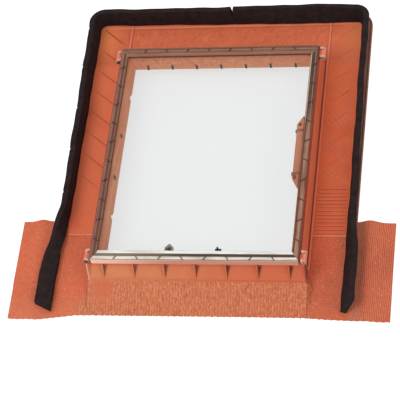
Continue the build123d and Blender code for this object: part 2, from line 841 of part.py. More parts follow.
def apron_wing(side):
    """Flat wing of the apron, bent down just below the flange."""
    bend = -(foot_front_y + foot_lip + 2)
    low = 0.2
    t = apron_thickness
    hem = apron_wing_hem_y
    high = apron_wing_y + 8
    profile = [(high, flange_thickness), (bend, flange_thickness), (bend - apron_ramp, low),
               (hem, low), (hem, low + t), (bend - apron_ramp, low + t),
               (bend, flange_thickness + t), (high, flange_thickness + t)]
    sheet = plate_yz(profile, side * ridge_x, side * apron_half_width)
    step_x = foam_outer_x - foam_width
    top = [(ridge_x, apron_high_y), (step_x + 4, apron_high_y), (foam_outer_x, apron_wing_y - 2),
           (foam_outer_x + 45, apron_wing_y + 4), (apron_half_width, apron_wing_y - 3)]
    bottom = [(apron_half_width - 3, hem + 2), (apron_half_width - 60, hem), (foam_outer_x - 12, hem + 5),
              (front_x + 40, apron_hem_y + 3), (front_x, apron_hem_y)]
    outline = [(side * x, y) for x, y in top + bottom]
    outline += [(side * front_x, -land_y + wall), (side * ridge_x, -land_y + wall)]
    return sheet & plate_xy(outline, -1, 2 * flange_thickness + 2 * t)


def apron_field():
    """Pleated middle of the apron, falling from the foot of the frame."""
    t = apron_thickness
    top_y = -(foot_front_y + foot_lip)
    count = 2 * int(2 * front_x / pleat_pitch / 2)
    step = 2 * front_x / count / 2
    upper = []
    lower = []
    for index in range(2 * count + 1):
        x = -front_x + index * step
        rise = pleat_depth if index % 2 else 0.0
        upper.append((x, top_y, foot_height - pleat_depth - t + rise + t))
        lower.append((x, top_y, foot_height - pleat_depth - t + rise))
    outline = make_face(Polyline(*upper, *reversed(lower), close=True))
    fall = foot_height - pleat_depth - t
    run = apron_drop - hem_wave
    length = math.hypot(run, fall)
    field = extrude(outline, amount=length, dir=(0, -run / length, -fall / length))
    hem = block(-front_x, front_x, apron_hem_y - 1, apron_hem_y + hem_wave + 6, 0.0, t)
    return field + hem


def apron_fold(side):
    """Sloping fold of the apron between the raised middle and a wing."""
    top_y = -(foot_front_y + foot_lip)
    x0 = side * (front_x - 1)
    crest = make_face(Polyline((x0, top_y, foot_height), (x0, apron_hem_y + hem_wave, apron_thickness),
                               (side * (front_x + apron_fold_run), top_y, flange_thickness + 0.2),
                               close=True))
    return extrude(crest, amount=apron_thickness, dir=(0, 0, -1))


def apron():
    """Flexible apron below the hatch, in one sheet."""
    body = apron_field()
    for side in (LEFT, RIGHT):
        body += apron_fold(side)
        body += apron_wing(side)
    return body


def apron_bead():
    """Clamping strip that holds the apron along the foot of the frame."""
    y1 = -(foot_front_y + foot_lip) + bead_width / 2
    return block(-front_x, front_x, y1 - bead_width, y1, foot_height, foot_height + bead_height)


def sub_parts():
    """Every sub-part by its name; a list stands for a group of like fasteners."""
    return {
        "base_frame": base_frame(),
        "rim_gasket": rim_gasket(),
        "lining_clips": lining_clips(),
        "foam_seal": foam_seal(),
        "apron": apron(),
        "apron_bead": apron_bead(),
        "hinge_pin_lower": hinge_pin(LOWER),
        "hinge_pin_upper": hinge_pin(UPPER),
        "hinge_pin_clips": pin_clips(),
        "strike_plate_lower": strike_plate(LOWER),
        "strike_plate_upper": strike_plate(UPPER),
        "strike_screws": strike_screws(),
        "cover": cover(),
        "inner_pane": inner_pane(),
        "latch_bracket_lower": latch_bracket(LOWER),
        "latch_bracket_upper": latch_bracket(UPPER),
        "bracket_screws": bracket_screws(),
        "catch_pin": catch_pin(),
        "catch_bush": catch_bush(),
        "buffer_peg": buffer_peg(),
        "latch_shaft": latch_shaft(),
        "latch_grip": latch_grip(),
        "latch_hook_lower": latch_hook(LOWER),
        "latch_hook_upper": latch_hook(UPPER),
        "turn_catch": turn_catch(),
    }


def main():
    """Write one STEP file for each sub-part."""
    os.makedirs("parts", exist_ok=True)
    place = Pos(0, whole_shift, 0)
    for name, shape in sub_parts().items():
        solids = []
        for piece in shape if isinstance(shape, list) else [shape]:
            solids += (place * piece).solids()
        result = solids[0] if len(solids) == 1 else Compound(children=solids)
        result.label = name
        export_step(result, f"parts/{name}.step")


main()
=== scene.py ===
"""Looks of a roof hatch: a moulded terracotta frame, its clear cover, a foam strip and a pleated apron.

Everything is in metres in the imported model's own frame: X runs across the hatch, Y up the roof and
Z out of the roof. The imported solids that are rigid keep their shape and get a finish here. The foam
strip and the apron are surfaces of their own, laid in the room that their solids hold.
"""

from __future__ import annotations

import logging
import math
from dataclasses import dataclass
from enum import Enum
from typing import Any, Sequence, Union

import bpy
import numpy as np
from mathutils import Matrix, Vector

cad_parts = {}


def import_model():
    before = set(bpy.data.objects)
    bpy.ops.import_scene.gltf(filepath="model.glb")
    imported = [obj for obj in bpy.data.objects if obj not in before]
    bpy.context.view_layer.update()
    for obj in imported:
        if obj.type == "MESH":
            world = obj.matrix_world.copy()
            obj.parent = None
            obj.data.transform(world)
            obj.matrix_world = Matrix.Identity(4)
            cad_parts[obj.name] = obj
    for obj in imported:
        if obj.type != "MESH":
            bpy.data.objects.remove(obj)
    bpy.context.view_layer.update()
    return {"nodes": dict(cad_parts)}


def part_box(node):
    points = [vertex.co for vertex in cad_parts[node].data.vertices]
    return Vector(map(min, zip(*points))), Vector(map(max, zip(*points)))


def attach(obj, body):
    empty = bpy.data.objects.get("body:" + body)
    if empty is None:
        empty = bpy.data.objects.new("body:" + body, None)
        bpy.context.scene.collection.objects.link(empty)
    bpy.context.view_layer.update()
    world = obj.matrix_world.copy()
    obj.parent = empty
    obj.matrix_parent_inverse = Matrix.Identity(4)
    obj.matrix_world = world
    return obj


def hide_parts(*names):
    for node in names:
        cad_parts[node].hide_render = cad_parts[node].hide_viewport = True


log = logging.getLogger("roof_hatch")

Number = Union[int, float]
Colour = tuple[float, float, float]
Tones = tuple[Colour, Colour]
Waves = tuple[tuple[float, float, float], ...]

FRAME_BODY = "frame"


class Side(Enum):
    """The two sides of the hatch, seen from below the apron."""

    LEFT = -1
    RIGHT = 1


def srgb(red: Number, green: Number, blue: Number) -> Colour:
    """Linear colour of a screen colour given in 0 to 255.

    Args:
        red: Red share.
        green: Green share.
        blue: Blue share.

    Returns:
        The linear colour that a shader socket takes.
    """
    def linear(share: float) -> float:
        """Undo the screen's curve for one share."""
        return share / 12.92 if share <= 0.04045 else ((share + 0.055) / 1.055) ** 2.4

    return linear(red / 255), linear(green / 255), linear(blue / 255)


def tones(dull: Sequence[Number], light: Sequence[Number] | None = None) -> Tones:
    """Two linear tones that a grain runs between, given in 0 to 255, or one tone twice."""
    return srgb(*dull), srgb(*(light or dull))


def ripple(place: np.ndarray, waves: Waves) -> np.ndarray:
    """Sum of sine waves along a place, each with its height, its rate in radians to the metre and phase."""
    return sum(height * np.sin(place * rate + phase) for height, rate, phase in waves)


class Wire:
    """A shader socket that takes part in Python arithmetic."""

    def __init__(self, graph: "Graph", socket: bpy.types.NodeSocket) -> None:
        """Keep the socket and the graph that it belongs to."""
        self.graph = graph
        self.socket = socket

    def _with(self, operation: str, *others: Union["Wire", Number], first: bool = True) -> "Wire":
        """Add one Math node.

        Args:
            operation: The Math node's operation.
            others: The other values.
            first: Whether this wire is the first value.

        Returns:
            The node's result.
        """
        values = [self, *others] if first else [*others, self]
        return self.graph.node("ShaderNodeMath", {"operation": operation}, dict(enumerate(values)))

    def __add__(self, other: Union["Wire", Number]) -> "Wire":
        """Sum."""
        return self._with("ADD", other)

    __radd__ = __add__

    def __sub__(self, other: Union["Wire", Number]) -> "Wire":
        """Difference."""
        return self._with("SUBTRACT", other)

    def __rsub__(self, other: Union["Wire", Number]) -> "Wire":
        """Difference with this wire taken away."""
        return self._with("SUBTRACT", other, first=False)

    def __mul__(self, other: Union["Wire", Number]) -> "Wire":
        """Product."""
        return self._with("MULTIPLY", other)

    __rmul__ = __mul__

    def __truediv__(self, other: Union["Wire", Number]) -> "Wire":
        """Quotient."""
        return self._with("DIVIDE", other)

    def __abs__(self) -> "Wire":
        """Size without its sign."""
        return self._with("ABSOLUTE")

    def sine(self) -> "Wire":
        """Sine of an angle in radians."""
        return self._with("SINE")

    def fraction(self) -> "Wire":
        """Part behind the decimal point."""
        return self._with("FRACT")

    def largest(self, other: Union["Wire", Number]) -> "Wire":
        """The larger of two values."""
        return self._with("MAXIMUM", other)

    def smallest(self, other: Union["Wire", Number]) -> "Wire":
        """The smaller of two values."""
        return self._with("MINIMUM", other)

    def rise(self, low: Number, high: Number) -> "Wire":
        """Smooth step from 0 at low to 1 at high, or downward where low is the larger."""
        settings = {"interpolation_type": "SMOOTHSTEP"}
        if low < high:
            values = {0: self, 1: low, 2: high, 3: 0.0, 4: 1.0}
        else:
            values = {0: self, 1: high, 2: low, 3: 1.0, 4: 0.0}
        return self.graph.node("ShaderNodeMapRange", settings, values)

    def within(self, low: Number, high: Number, blur: Number) -> "Wire":
        """1 between two values and 0 outside them, with blurred ends."""
        return self.rise(low - blur, low + blur) * self.rise(high + blur, high - blur)


class Graph:
    """The node tree of one material."""

    def __init__(self, name: str) -> None:
        """Start a material of that name with an empty tree."""
        self.material = bpy.data.materials.new(name)
        self.material.use_nodes = True
        self.tree = self.material.node_tree
        self.tree.nodes.clear()
        self.place = self.node("ShaderNodeTexCoord", output="Object")

    def node(
        self,
        kind: str,
        settings: dict[str, Any] | None = None,
        values: dict[Union[int, str], Any] | None = None,
        output: Union[int, str] = 0,
    ) -> Wire:
        """Add one node.

        Args:
            kind: The node's type.
            settings: The node's own settings, which are set first.
            values: The values or links of its sockets, by number or name.
            output: The output that is handed back.

        Returns:
            That output as a wire.
        """
        made = self.tree.nodes.new(kind)
        for key, value in (settings or {}).items():
            setattr(made, key, value)
        for key, value in (values or {}).items():
            self.feed(made.inputs[key], value)
        return Wire(self, made.outputs[output])

    def feed(self, socket: bpy.types.NodeSocket, value: Any) -> None:
        """Link a wire to a socket, or set the socket's own value."""
        if isinstance(value, Wire):
            self.tree.links.new(value.socket, socket)
        elif socket.type == "RGBA" and len(value) == 3:
            socket.default_value = (*value, 1.0)
        else:
            socket.default_value = value

    def axes(self) -> tuple[Wire, Wire, Wire]:
        """X, Y and Z of the shaded point in the model's own frame."""
        split = self.node("ShaderNodeSeparateXYZ", values={0: self.place}).socket.node
        return tuple(Wire(self, split.outputs[index]) for index in range(3))

    def stretched(self, scale: Sequence[Number], turn: Number = 0.0) -> Wire:
        """Place turned about Z and scaled along each axis, for a pattern with a direction."""
        turned = self.node("ShaderNodeMapping", values={"Vector": self.place, "Rotation": (0, 0, turn)})
        return self.node("ShaderNodeMapping", values={"Vector": turned, "Scale": tuple(scale)})

    def noise(self, scale: Number, detail: Number = 3.0, rough: Number = 0.55,
              place: Wire | None = None, warp: Number = 0.0) -> Wire:
        """Cloudy noise between 0 and 1.

        Args:
            scale: Clouds to the metre.
            detail: Number of finer layers.
            rough: Share of the finer layers.
            place: Where the noise is read, or the object's own place.
            warp: How far the clouds are drawn out of shape.

        Returns:
            The noise value.
        """
        values = {"Vector": place or self.place, "Scale": scale, "Detail": detail,
                  "Roughness": rough, "Distortion": warp}
        return self.node("ShaderNodeTexNoise", values=values)

    def mix(self, share: Union[Wire, Number], first: Any, second: Any) -> Wire:
        """Colour between two colours."""
        settings = {"data_type": "RGBA", "blend_type": "MIX"}
        mixed = self.node("ShaderNodeMix", settings, {0: share}, output=2).socket.node
        self.feed(mixed.inputs[6], first)
        self.feed(mixed.inputs[7], second)
        return Wire(self, mixed.outputs[2])

    def bump(self, height: Wire, depth: Number) -> Wire:
        """Normal of a relief of that depth in metres."""
        return self.node("ShaderNodeBump", values={"Height": height, "Distance": depth})

    def finish(self, **sockets: Any) -> bpy.types.Material:
        """Close the tree with one Principled shader.

        Args:
            sockets: Its sockets' values, with underscores for the spaces in their names.

        Returns:
            The finished material.
        """
        values = {key.replace("_", " "): value for key, value in sockets.items()}
        shader = self.node("ShaderNodeBsdfPrincipled", values=values)
        self.node_output(shader)
        return self.material

    def node_output(self, shader: Wire) -> None:
        """Link a shader to the material's surface."""
        out = self.tree.nodes.new("ShaderNodeOutputMaterial")
        self.tree.links.new(shader.socket, out.inputs["Surface"])


@dataclass(frozen=True)
class HatchSizes:
    """Sizes that the finishes share, in metres, about the middle of the cover.

    The fields that end in x are half widths, and those that end in y are distances up the roof.
    """

    middle_y: float
    wall_x: float = 0.251
    wall_y: float = 0.301
    foot_x: float = 0.262
    foot_back: float = 0.312
    front_x: float = 0.272
    gusset_pitch: float = 0.077
    reveal_x: float = 0.241
    reveal_low: float = 0.043
    land_z: float = 0.080
    cover_x: float = 0.260
    cover_y: float = 0.310
    band_side: float = 0.020
    band_end: float = 0.027
    ridge_in: float = 0.266
    ridge_out: float = 0.271
    foam_in: float = 0.351
    foam_in_y: float = 0.440
    apron_high: float = -0.193
    louvre_pitch: float = 0.0104
    score_first: float = 0.406
    score_pitch: float = 0.0645

    @classmethod
    def from_frame(cls) -> "HatchSizes":
        """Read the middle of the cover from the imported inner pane."""
        low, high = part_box("inner_pane")
        return cls(middle_y=round((low.y + high.y) / 2, 4))


class Spot:
    """Where the shaded point lies: its coordinates about the middle of the cover."""

    def __init__(self, graph: Graph, sizes: HatchSizes) -> None:
        """Read the point's coordinates once for the whole material."""
        self.x, y, self.z = graph.axes()
        self.up = y - sizes.middle_y
        self.across = abs(self.x)
        self.ahead = abs(self.up)
        self.right = self.x.rise(-0.001, 0.001)


@dataclass(frozen=True)
class Patch:
    """A rectangle in the plane of the roof, about the middle of the cover, with blurred edges."""

    left: float
    right: float
    low: float
    high: float
    blur_x: float
    blur_up: float

    def mask(self, spot: Spot) -> Wire:
        """1 inside the rectangle and 0 outside it."""
        across = spot.x.within(self.left, self.right, self.blur_x)
        return across * spot.up.within(self.low, self.high, self.blur_up)


@dataclass(frozen=True)
class Terracotta:
    """Moulded terracotta plastic: clouded, marked on the flange with lines and with painted light and
    shade, and grained on the reveals.
    """

    sizes: HatchSizes
    name: str = "terracotta_moulding"
    left: Colour = srgb(218, 109, 71)
    right: Colour = srgb(212, 98, 58)
    upper: Colour = srgb(197, 96, 62)
    deep: Colour = srgb(188, 72, 48)
    warm: Colour = srgb(222, 122, 72)
    red: Colour = srgb(200, 72, 50)
    wall: Colour = srgb(226, 122, 90)
    groove_shade: Colour = srgb(120, 54, 36)
    ridge: Colour = srgb(212, 118, 90)
    dark_marks_and_shadow: Colour = srgb(112, 44, 32)
    pale: Colour = srgb(222, 128, 97)
    rim: Colour = srgb(160, 108, 92)
    rim_mark: Colour = srgb(120, 56, 50)
    panel_left: Colour = srgb(200, 122, 82)
    panel_right: Colour = srgb(193, 94, 58)
    panel_cloud: Colour = srgb(186, 88, 64)
    shade_left: Colour = srgb(150, 86, 66)
    shade_right: Colour = srgb(98, 48, 37)
    foot_edge: Colour = srgb(222, 150, 116)
    lit_end_left: Colour = srgb(216, 156, 132)
    shaded_end_right: Colour = srgb(118, 56, 42)
    reveal_dull: Colour = srgb(236, 136, 98)
    reveal_light: Colour = srgb(255, 174, 124)
    reveal_edge: Colour = srgb(250, 170, 132)
    reveal_shade: Colour = srgb(206, 106, 72)
    bore_shade: Colour = srgb(82, 52, 40)
    bore_up: float = 0.061
    bore_radius: float = 0.0054
    hatching: tuple[tuple[float, float, float], ...] = ((41.0, 0.0127, 0.0), (-51.0, 0.0118, 0.3))
    louvres: Patch = Patch(0.274, 0.349, -0.193, -0.058, 0.003, 0.002)
    seam: Patch = Patch(-0.278, 0.300, 0.4302, 0.4316, 0.01, 0.0004)
    outer_line: Patch = Patch(-0.2775, -0.2760, 0.33, 0.432, 0.0004, 0.006)
    inner_line: Patch = Patch(-0.2705, -0.2690, 0.33, 0.432, 0.0004, 0.006)
    dots_per_metre: float = 110.0
    mitre_x: float = -0.344
    mitre_up: float = 0.433
    mitre_fall: float = 0.9216
    mitre_reach: float = 0.051
    leather_turn: float = 40.0
    score_turn: float = 38.0
    roughness: float = 0.50

    def build(self) -> bpy.types.Material:
        """Make the material.

        Returns:
            The moulding's material.
        """
        graph = Graph(self.name)
        spot = Spot(graph, self.sizes)
        low = spot.z.rise(0.0085, 0.0068)
        clouds = graph.noise(7.0, 4.0, 0.6)
        patches = graph.noise(26.0, 3.0, 0.55)
        # Painted light: the flange's side runs are lighter than its top run, to make up for the shade that
        # the foam and the upstand cast on them.
        colour = graph.mix(spot.x.rise(-0.30, 0.26), self.left, self.right)
        colour = graph.mix(spot.up.rise(0.300, 0.330), colour, self.upper)
        colour = graph.mix(clouds.rise(0.52, 0.30) * 0.45, colour, self.deep)
        colour = graph.mix(patches.rise(0.50, 0.75) * 0.35, colour, self.warm)
        corner = spot.across.rise(0.280, 0.335) * spot.up.rise(0.29, 0.40)
        colour = graph.mix(corner * 0.75, colour, self.warm)
        colour = self._walls(graph, spot, colour)
        colour = self._front(graph, spot, colour)
        colour = self._reveals(graph, spot, colour)

        pale, dark, leather = self._flange_marks(graph, spot)
        # The pale and dark masks hold painted highlights and painted shadows beside raised lines, as well
        # as real marks.
        colour = graph.mix(pale * low * 0.62, colour, self.pale)
        colour = graph.mix(dark * low * 0.80, colour, self.dark_marks_and_shadow)
        colour = self._rims(graph, spot, colour, low)

        grain = graph.noise(900.0, 2.0, 0.5)
        relief = (leather + pale * 0.6 - dark * 0.8) * low
        height = grain * 0.25 + clouds * 0.6 + relief * 0.8
        rough = patches * 0.14 + self.roughness
        return graph.finish(Base_Color=colour, Roughness=rough, Normal=graph.bump(height, 0.0006),
                            Specular_IOR_Level=0.3)

    def _walls(self, graph: Graph, spot: Spot, colour: Wire) -> Wire:
        """Outer walls of the upstand: plainer than the flange, and painted a little brighter than it as
        painted light.
        """
        size = self.sizes
        outside = spot.across.rise(size.wall_x - 0.004, size.wall_x)
        outside = outside.largest(spot.ahead.rise(size.wall_y - 0.004, size.wall_y))
        above = spot.z.rise(0.0045, 0.0075) * outside
        streaks = graph.noise(1.0, 4.0, 0.6, graph.stretched((60, 6, 40)))
        # Painted light: the walls' colour is lighter than the flange's so that they look lit.
        wall = graph.mix(streaks.rise(0.35, 0.65) * 0.5, self.wall, self.right)
        return graph.mix(above * spot.up.rise(-0.310, -0.300), colour, wall)

    def _front(self, graph: Graph, spot: Spot, colour: Wire) -> Wire:
        """Sloping front: panels that redden to the right, a painted shadow beside each gusset, pale at the
        foot, and painted light and shade on the two end plates.
        """
        size = self.sizes
        front = spot.up.rise(-0.303, -0.306) * spot.z.rise(0.020, 0.026)
        panel = graph.mix(spot.x.rise(-0.27, 0.27), self.panel_left, self.panel_right)
        panel = graph.mix(graph.noise(60.0, 3.0).rise(0.45, 0.75) * 0.35, panel, self.panel_cloud)
        # Painted shadow: each gusset's right face and the shadow that it casts on the panel, wide at the
        # top and darker towards the right.
        beside = ((spot.x / size.gusset_pitch + 100.5).fraction() - 0.5) * size.gusset_pitch
        reach = 0.0016 + spot.z.rise(0.034, 0.066) * 0.013
        gusset_shadow = beside.rise(0.0008, 0.0016) * (beside - reach).rise(0.0008, -0.0008)
        gusset_shadow = gusset_shadow * spot.z.rise(0.031, 0.038) * spot.across.rise(0.262, 0.258)
        shade = graph.mix(spot.x.rise(-0.24, 0.20), self.shade_left, self.shade_right)
        panel = graph.mix(gusset_shadow * 0.85, panel, shade)
        edge = spot.z.within(0.0265, 0.0312, 0.0008) * spot.up.rise(-0.326, -0.329)
        panel = graph.mix(edge * 0.8, panel, self.foot_edge)
        # End plates: a painted highlight on the left one, painted shade on the right one.
        ends = spot.across.rise(0.2665, 0.2695)
        end_light_and_shade = graph.mix(spot.right, self.lit_end_left, self.shaded_end_right)
        panel = graph.mix(ends * spot.z.rise(0.028, 0.034), panel, end_light_and_shade)
        return graph.mix(front, colour, panel)

    def _reveals(self, graph: Graph, spot: Spot, colour: Wire) -> Wire:
        """Reveals round the opening, streaked along the roof, with painted shade in two spare bores on the
        left.
        """
        size = self.sizes
        inside = spot.across.rise(size.reveal_x + 0.0115, size.reveal_x + 0.0105)
        inside = inside * spot.ahead.rise(0.2965, 0.2955)
        reveal = inside * spot.z.rise(size.reveal_low - 0.004, size.reveal_low - 0.002)
        streaks = graph.noise(1.0, 5.0, 0.65, graph.stretched((150, 9, 110)), 0.4)
        grained = graph.mix(streaks.rise(0.34, 0.66), self.reveal_dull, self.reveal_light)
        edge = spot.z.rise(size.reveal_low + 0.012, size.reveal_low + 0.002)
        grained = graph.mix(edge * 0.75, grained, self.reveal_edge)
        shade = spot.z.rise(0.068, 0.079) * 0.45
        grained = graph.mix(shade, grained, self.reveal_shade)
        # Painted shade: two ragged dark patches where the spare bores on the left are.
        ragged = (graph.noise(150.0, 2.0) - 0.5) * 0.006
        spare = abs(spot.ahead - self.bore_up) + ragged
        spare = spare.rise(self.bore_radius + 0.0008, self.bore_radius - 0.0008) * (1 - spot.right)
        spare = spare * spot.z.within(0.055, 0.067, 0.001)
        grained = graph.mix(spare * 0.85, grained, self.bore_shade)
        return graph.mix(reveal, colour, grained)

    def _flange_marks(self, graph: Graph, spot: Spot) -> tuple[Wire, Wire, Wire]:
        """Pale and dark marks on the flange: hatching, scores, level lines and thin seams. The hatching,
        scores and level lines are painted highlights and painted shadows beside raised lines; the seams,
        dots and the cut are marks.

        A family of lines is the distance of a turned and slightly wavy coordinate from its
        nearest whole number, kept where it is small and broken up by a cloudy mask.

        Returns:
            The pale mask, the dark mask and the height of a leathery grain.
        """
        size = self.sizes
        x, up = spot.x, spot.up
        right = x.rise(0.273, 0.280) * up.within(-0.050, 0.285, 0.012)
        top = up.rise(size.foot_back + 0.004, size.foot_back + 0.008) * up.rise(0.431, 0.424)
        top = top * spot.across.rise(0.285, 0.262)
        sway = graph.noise(5.0, 2.0, 0.5) * 0.5
        breaks = graph.noise(22.0, 3.0, 0.55)
        pale: Union[Wire, Number] = 0.0
        dark: Union[Wire, Number] = 0.0
        # Hatching: each pale line is a painted highlight on a raised line, with a painted shadow beside it.
        kept = breaks.rise(0.40, 0.56) * right
        for angle, pitch, offset in self.hatching:
            turn = math.radians(angle)
            along = (up * math.cos(turn) - x * math.sin(turn)) / pitch + sway + offset
            away = (along + 100.0).fraction() - 0.5
            pale = abs(away).rise(0.10, 0.02) * kept + pale
            dark = abs(away - 0.13).rise(0.09, 0.01) * kept * 0.5 + dark
        slanted = graph.stretched((330, 70, 60), math.radians(self.leather_turn))
        leather = graph.noise(1.0, 4.0, 0.65, slanted, 0.5)
        pale = pale + leather.rise(0.54, 0.64) * top * 0.8
        dark = dark + leather.rise(0.46, 0.34) * top * 0.45

        # Scores: a painted shadow beside each rib on the left, a painted highlight beside each rib on the
        # right.
        turn = math.radians(self.score_turn)
        middle = (size.ridge_out + size.foam_in) / 2
        for side in Side:
            offset = x - side.value * middle
            along = up - side.value * math.tan(turn) * offset
            away = ((along - size.score_first) / size.score_pitch + 100.5).fraction() - 0.5
            lowest = -0.085 if side is Side.LEFT else -0.02
            reach = abs(offset).rise(0.034, 0.029) * up.rise(lowest, 0.0)
            line = abs(away * size.score_pitch + 0.0016).rise(0.0013, 0.0003) * reach * 0.85
            if side is Side.LEFT:
                dark = dark + line
            else:
                pale = pale + line * 0.7
        dots = (up * self.dots_per_metre).fraction().rise(0.35, 0.5)
        pair = self.outer_line.mask(spot) + self.inner_line.mask(spot)
        dark = dark + (self.seam.mask(spot) * 0.6 + pair * dots * 0.35)
        cut = abs(up - self.mitre_up + (x - self.mitre_x) * self.mitre_fall).rise(0.0018, 0.0006)
        cut = cut * x.within(self.mitre_x, self.mitre_x + self.mitre_reach, 0.003)
        dark = dark + cut * 0.7
        # Level lines: a painted shadow behind each rib and a painted highlight on its front.
        level = ((up - size.apron_high) / size.louvre_pitch + 99.75).fraction() - 0.5
        field = self.louvres.mask(spot)
        dark = dark + abs(level + 0.33).rise(0.10, 0.03) * field * 0.75
        pale = pale + abs(level + 0.17).rise(0.10, 0.03) * field
        return pale, dark, leather * top

    def _rims(self, graph: Graph, spot: Spot, colour: Wire, low: Wire) -> Wire:
        """Painted shade in the groove beside the upstand, the ridge, the pale lines below the foam, and the
        outer rim.
        """
        size = self.sizes
        back = spot.ahead.rise(size.foot_back, size.foot_back + 0.0005)
        # Painted shade: the groove at the wall's foot is painted dark.
        sides = spot.across.within(size.foot_x + 0.0004, size.ridge_in - 0.0004, 0.0006)
        colour = graph.mix(sides * low * spot.up.rise(0.330, 0.318) * 0.9, colour, self.groove_shade)
        ridge = spot.across.within(size.ridge_in, size.ridge_out, 0.0003) * spot.z.rise(0.0036, 0.0046)
        colour = graph.mix(ridge * low * 0.8, colour, self.ridge)
        reddish = spot.up.rise(0.352, size.foot_back) * spot.up.rise(0.308, 0.312)
        reddish = reddish * spot.across.rise(0.272, 0.262) * back
        colour = graph.mix(reddish * low * 0.75, colour, self.red)
        below = spot.up.within(size.foam_in_y - 0.0065, size.foam_in_y - 0.001, 0.0012)
        colour = graph.mix(below * low * 0.75, colour, self.pale)
        marks = graph.noise(1.0, 3.0, 0.6, graph.stretched((40, 90, 40)))
        rim = graph.mix(marks.rise(0.60, 0.66) * 0.7, self.rim, self.rim_mark)
        outer = spot.x.rise(0.3655, 0.3668)
        return graph.mix(outer * spot.up.rise(-0.16, -0.15), colour, rim)


@dataclass(frozen=True)
class PleatedSheet:
    """Thin terracotta sheet with the dull sheen of a pressed and crinkled foil."""

    sizes: HatchSizes
    name: str = "pleated_sheet"
    left: Colour = srgb(190, 108, 72)
    middle: Colour = srgb(190, 106, 70)
    right: Colour = srgb(186, 100, 66)
    wing_left: Colour = srgb(204, 97, 64)
    wing_right: Colour = srgb(190, 92, 62)
    deep: Colour = srgb(146, 58, 36)
    pale: Colour = srgb(238, 166, 128)
    pressed: Colour = srgb(190, 90, 58)
    reddened: Colour = srgb(208, 84, 54)
    faded: Colour = srgb(206, 112, 78)
    band: Colour = srgb(176, 108, 86)
    pressed_patch: Patch = Patch(-0.262, -0.215, -0.380, -0.334, 0.018, 0.016)
    ribs_per_metre: float = 230.0
    threads_per_metre: float = 190.0
    roughness: float = 0.60

    def build(self) -> bpy.types.Material:
        """Make the material.

        Returns:
            The sheet's material.
        """
        graph = Graph(self.name)
        size = self.sizes
        spot = Spot(graph, size)
        x, up = spot.x, spot.up
        spread = up.rise(-0.34, -0.40) * (1 - spot.right) * 0.016
        field_mask = (spot.across - spread).rise(size.front_x + 0.014, size.front_x + 0.006)
        field_mask = field_mask * up.rise(-0.326, -0.332)
        clouds = graph.noise(9.0, 4.0, 0.6)
        creases = graph.noise(1.0, 3.0, 0.6, graph.stretched((420, 90, 90)), 0.8)
        specks = graph.noise(300.0, 3.0, 0.6)
        pleated = graph.mix(x.rise(-0.28, -0.02), self.left, self.middle)
        pleated = graph.mix(x.rise(0.0, 0.28), pleated, self.right)
        smooth_patch = self.pressed_patch.mask(spot)
        pleated = graph.mix(smooth_patch * 0.55, pleated, self.pressed)
        rough_mask = 1 - smooth_patch * 0.8
        pleated = graph.mix(creases.rise(0.50, 0.66) * rough_mask * 0.42, pleated, self.pale)
        pleated = graph.mix(creases.rise(0.48, 0.34) * rough_mask * 0.55, pleated, self.deep)
        pleated = graph.mix(specks.rise(0.55, 0.64) * rough_mask * 0.45, pleated, self.pale)
        # Painted shade in the pleats' valleys, where their height is low.
        wave = self._pleats(x, up)
        pleated = graph.mix(wave.rise(0.45, 0.10) * rough_mask * 0.35, pleated, self.deep)
        flat = graph.mix(spot.right, self.wing_left, self.wing_right)
        flat = graph.mix(clouds.rise(0.55, 0.32) * 0.3, flat, self.deep)
        beside = spot.right * x.within(0.272, 0.335, 0.010) * up.rise(-0.32, -0.27)
        flat = graph.mix(beside * 0.6, flat, self.reddened)
        lowest = (1 - spot.right) * up.rise(-0.34, -0.40)
        flat = graph.mix(lowest * 0.6, flat, self.faded)
        rib = abs((x * self.ribs_per_metre + graph.noise(14.0, 2.0) * 1.5).fraction() - 0.5)
        ribbed = spot.right * x.rise(0.36, 0.375) + (1 - spot.right) * 0.25
        threads = (x + up) * self.threads_per_metre + graph.noise(20.0, 2.0) * 1.2
        weave = abs(threads.fraction() - 0.5)
        woven = 1 - spot.right * x.rise(0.335, 0.375)
        flat = graph.mix(rib.rise(0.30, 0.46) * ribbed * 0.50, flat, self.deep)
        flat = graph.mix(rib.rise(0.16, 0.02) * ribbed * 0.42, flat, self.pale)
        flat = graph.mix(weave.rise(0.32, 0.46) * woven * 0.38, flat, self.deep)
        flat = graph.mix(weave.rise(0.14, 0.02) * woven * 0.28, flat, self.pale)
        band = spot.right * x.within(0.375, 0.402, 0.004)
        flat = graph.mix(band * 0.45, flat, self.band)
        flat = graph.mix(specks.rise(0.57, 0.68) * 0.40, flat, self.pale)
        flat = graph.mix(specks.rise(0.44, 0.34) * 0.35, flat, self.deep)
        upper_edge = up.rise(size.apron_high - 0.0035, size.apron_high - 0.0015)
        upper_edge = upper_edge * spot.across.rise(0.357, 0.354)
        flat = graph.mix(upper_edge * 0.75, flat, self.pale)
        leather = rib * ribbed + weave * woven
        colour = graph.mix(field_mask, flat, pleated)
        height = creases * (field_mask * rough_mask * 0.8 + 0.15) + graph.noise(700.0, 2.0) * 0.2
        height = height + leather * (1 - field_mask) * 0.3
        return graph.finish(Base_Color=colour, Roughness=self.roughness,
                            Normal=graph.bump(height, 0.0012), Specular_IOR_Level=0.2)

    def _pleats(self, x: Wire, up: Wire) -> Wire:
        """Height of the field's pleats from 0 to 1, by the formula that shapes them in Apron."""
        v = (Apron.foot_y - up) / (Apron.foot_y - Apron.apron_hem)
        wander = sum((x * across + v * down).sine() * turn for turn, across, down in Apron.wander)
        return abs((x / Apron.pleat * math.pi + wander / 2).sine())


@dataclass(frozen=True)
class Stripe:
    """One stripe of a border: the distances from the edge where it starts and is full, and its tones.

    Where a stripe has other tones, they show at the far end of the border.
    """

    start: float
    full: float
    tones: Tones
    other: Tones | None = None


# Tones that several stripes of the cover share
TAN = tones((136, 88, 68), (180, 136, 114))
UMBER = tones((70, 44, 28), (90, 62, 46))
PEARL = tones((196, 184, 172), (246, 236, 226))
MUD = tones((134, 98, 78), (150, 114, 94))


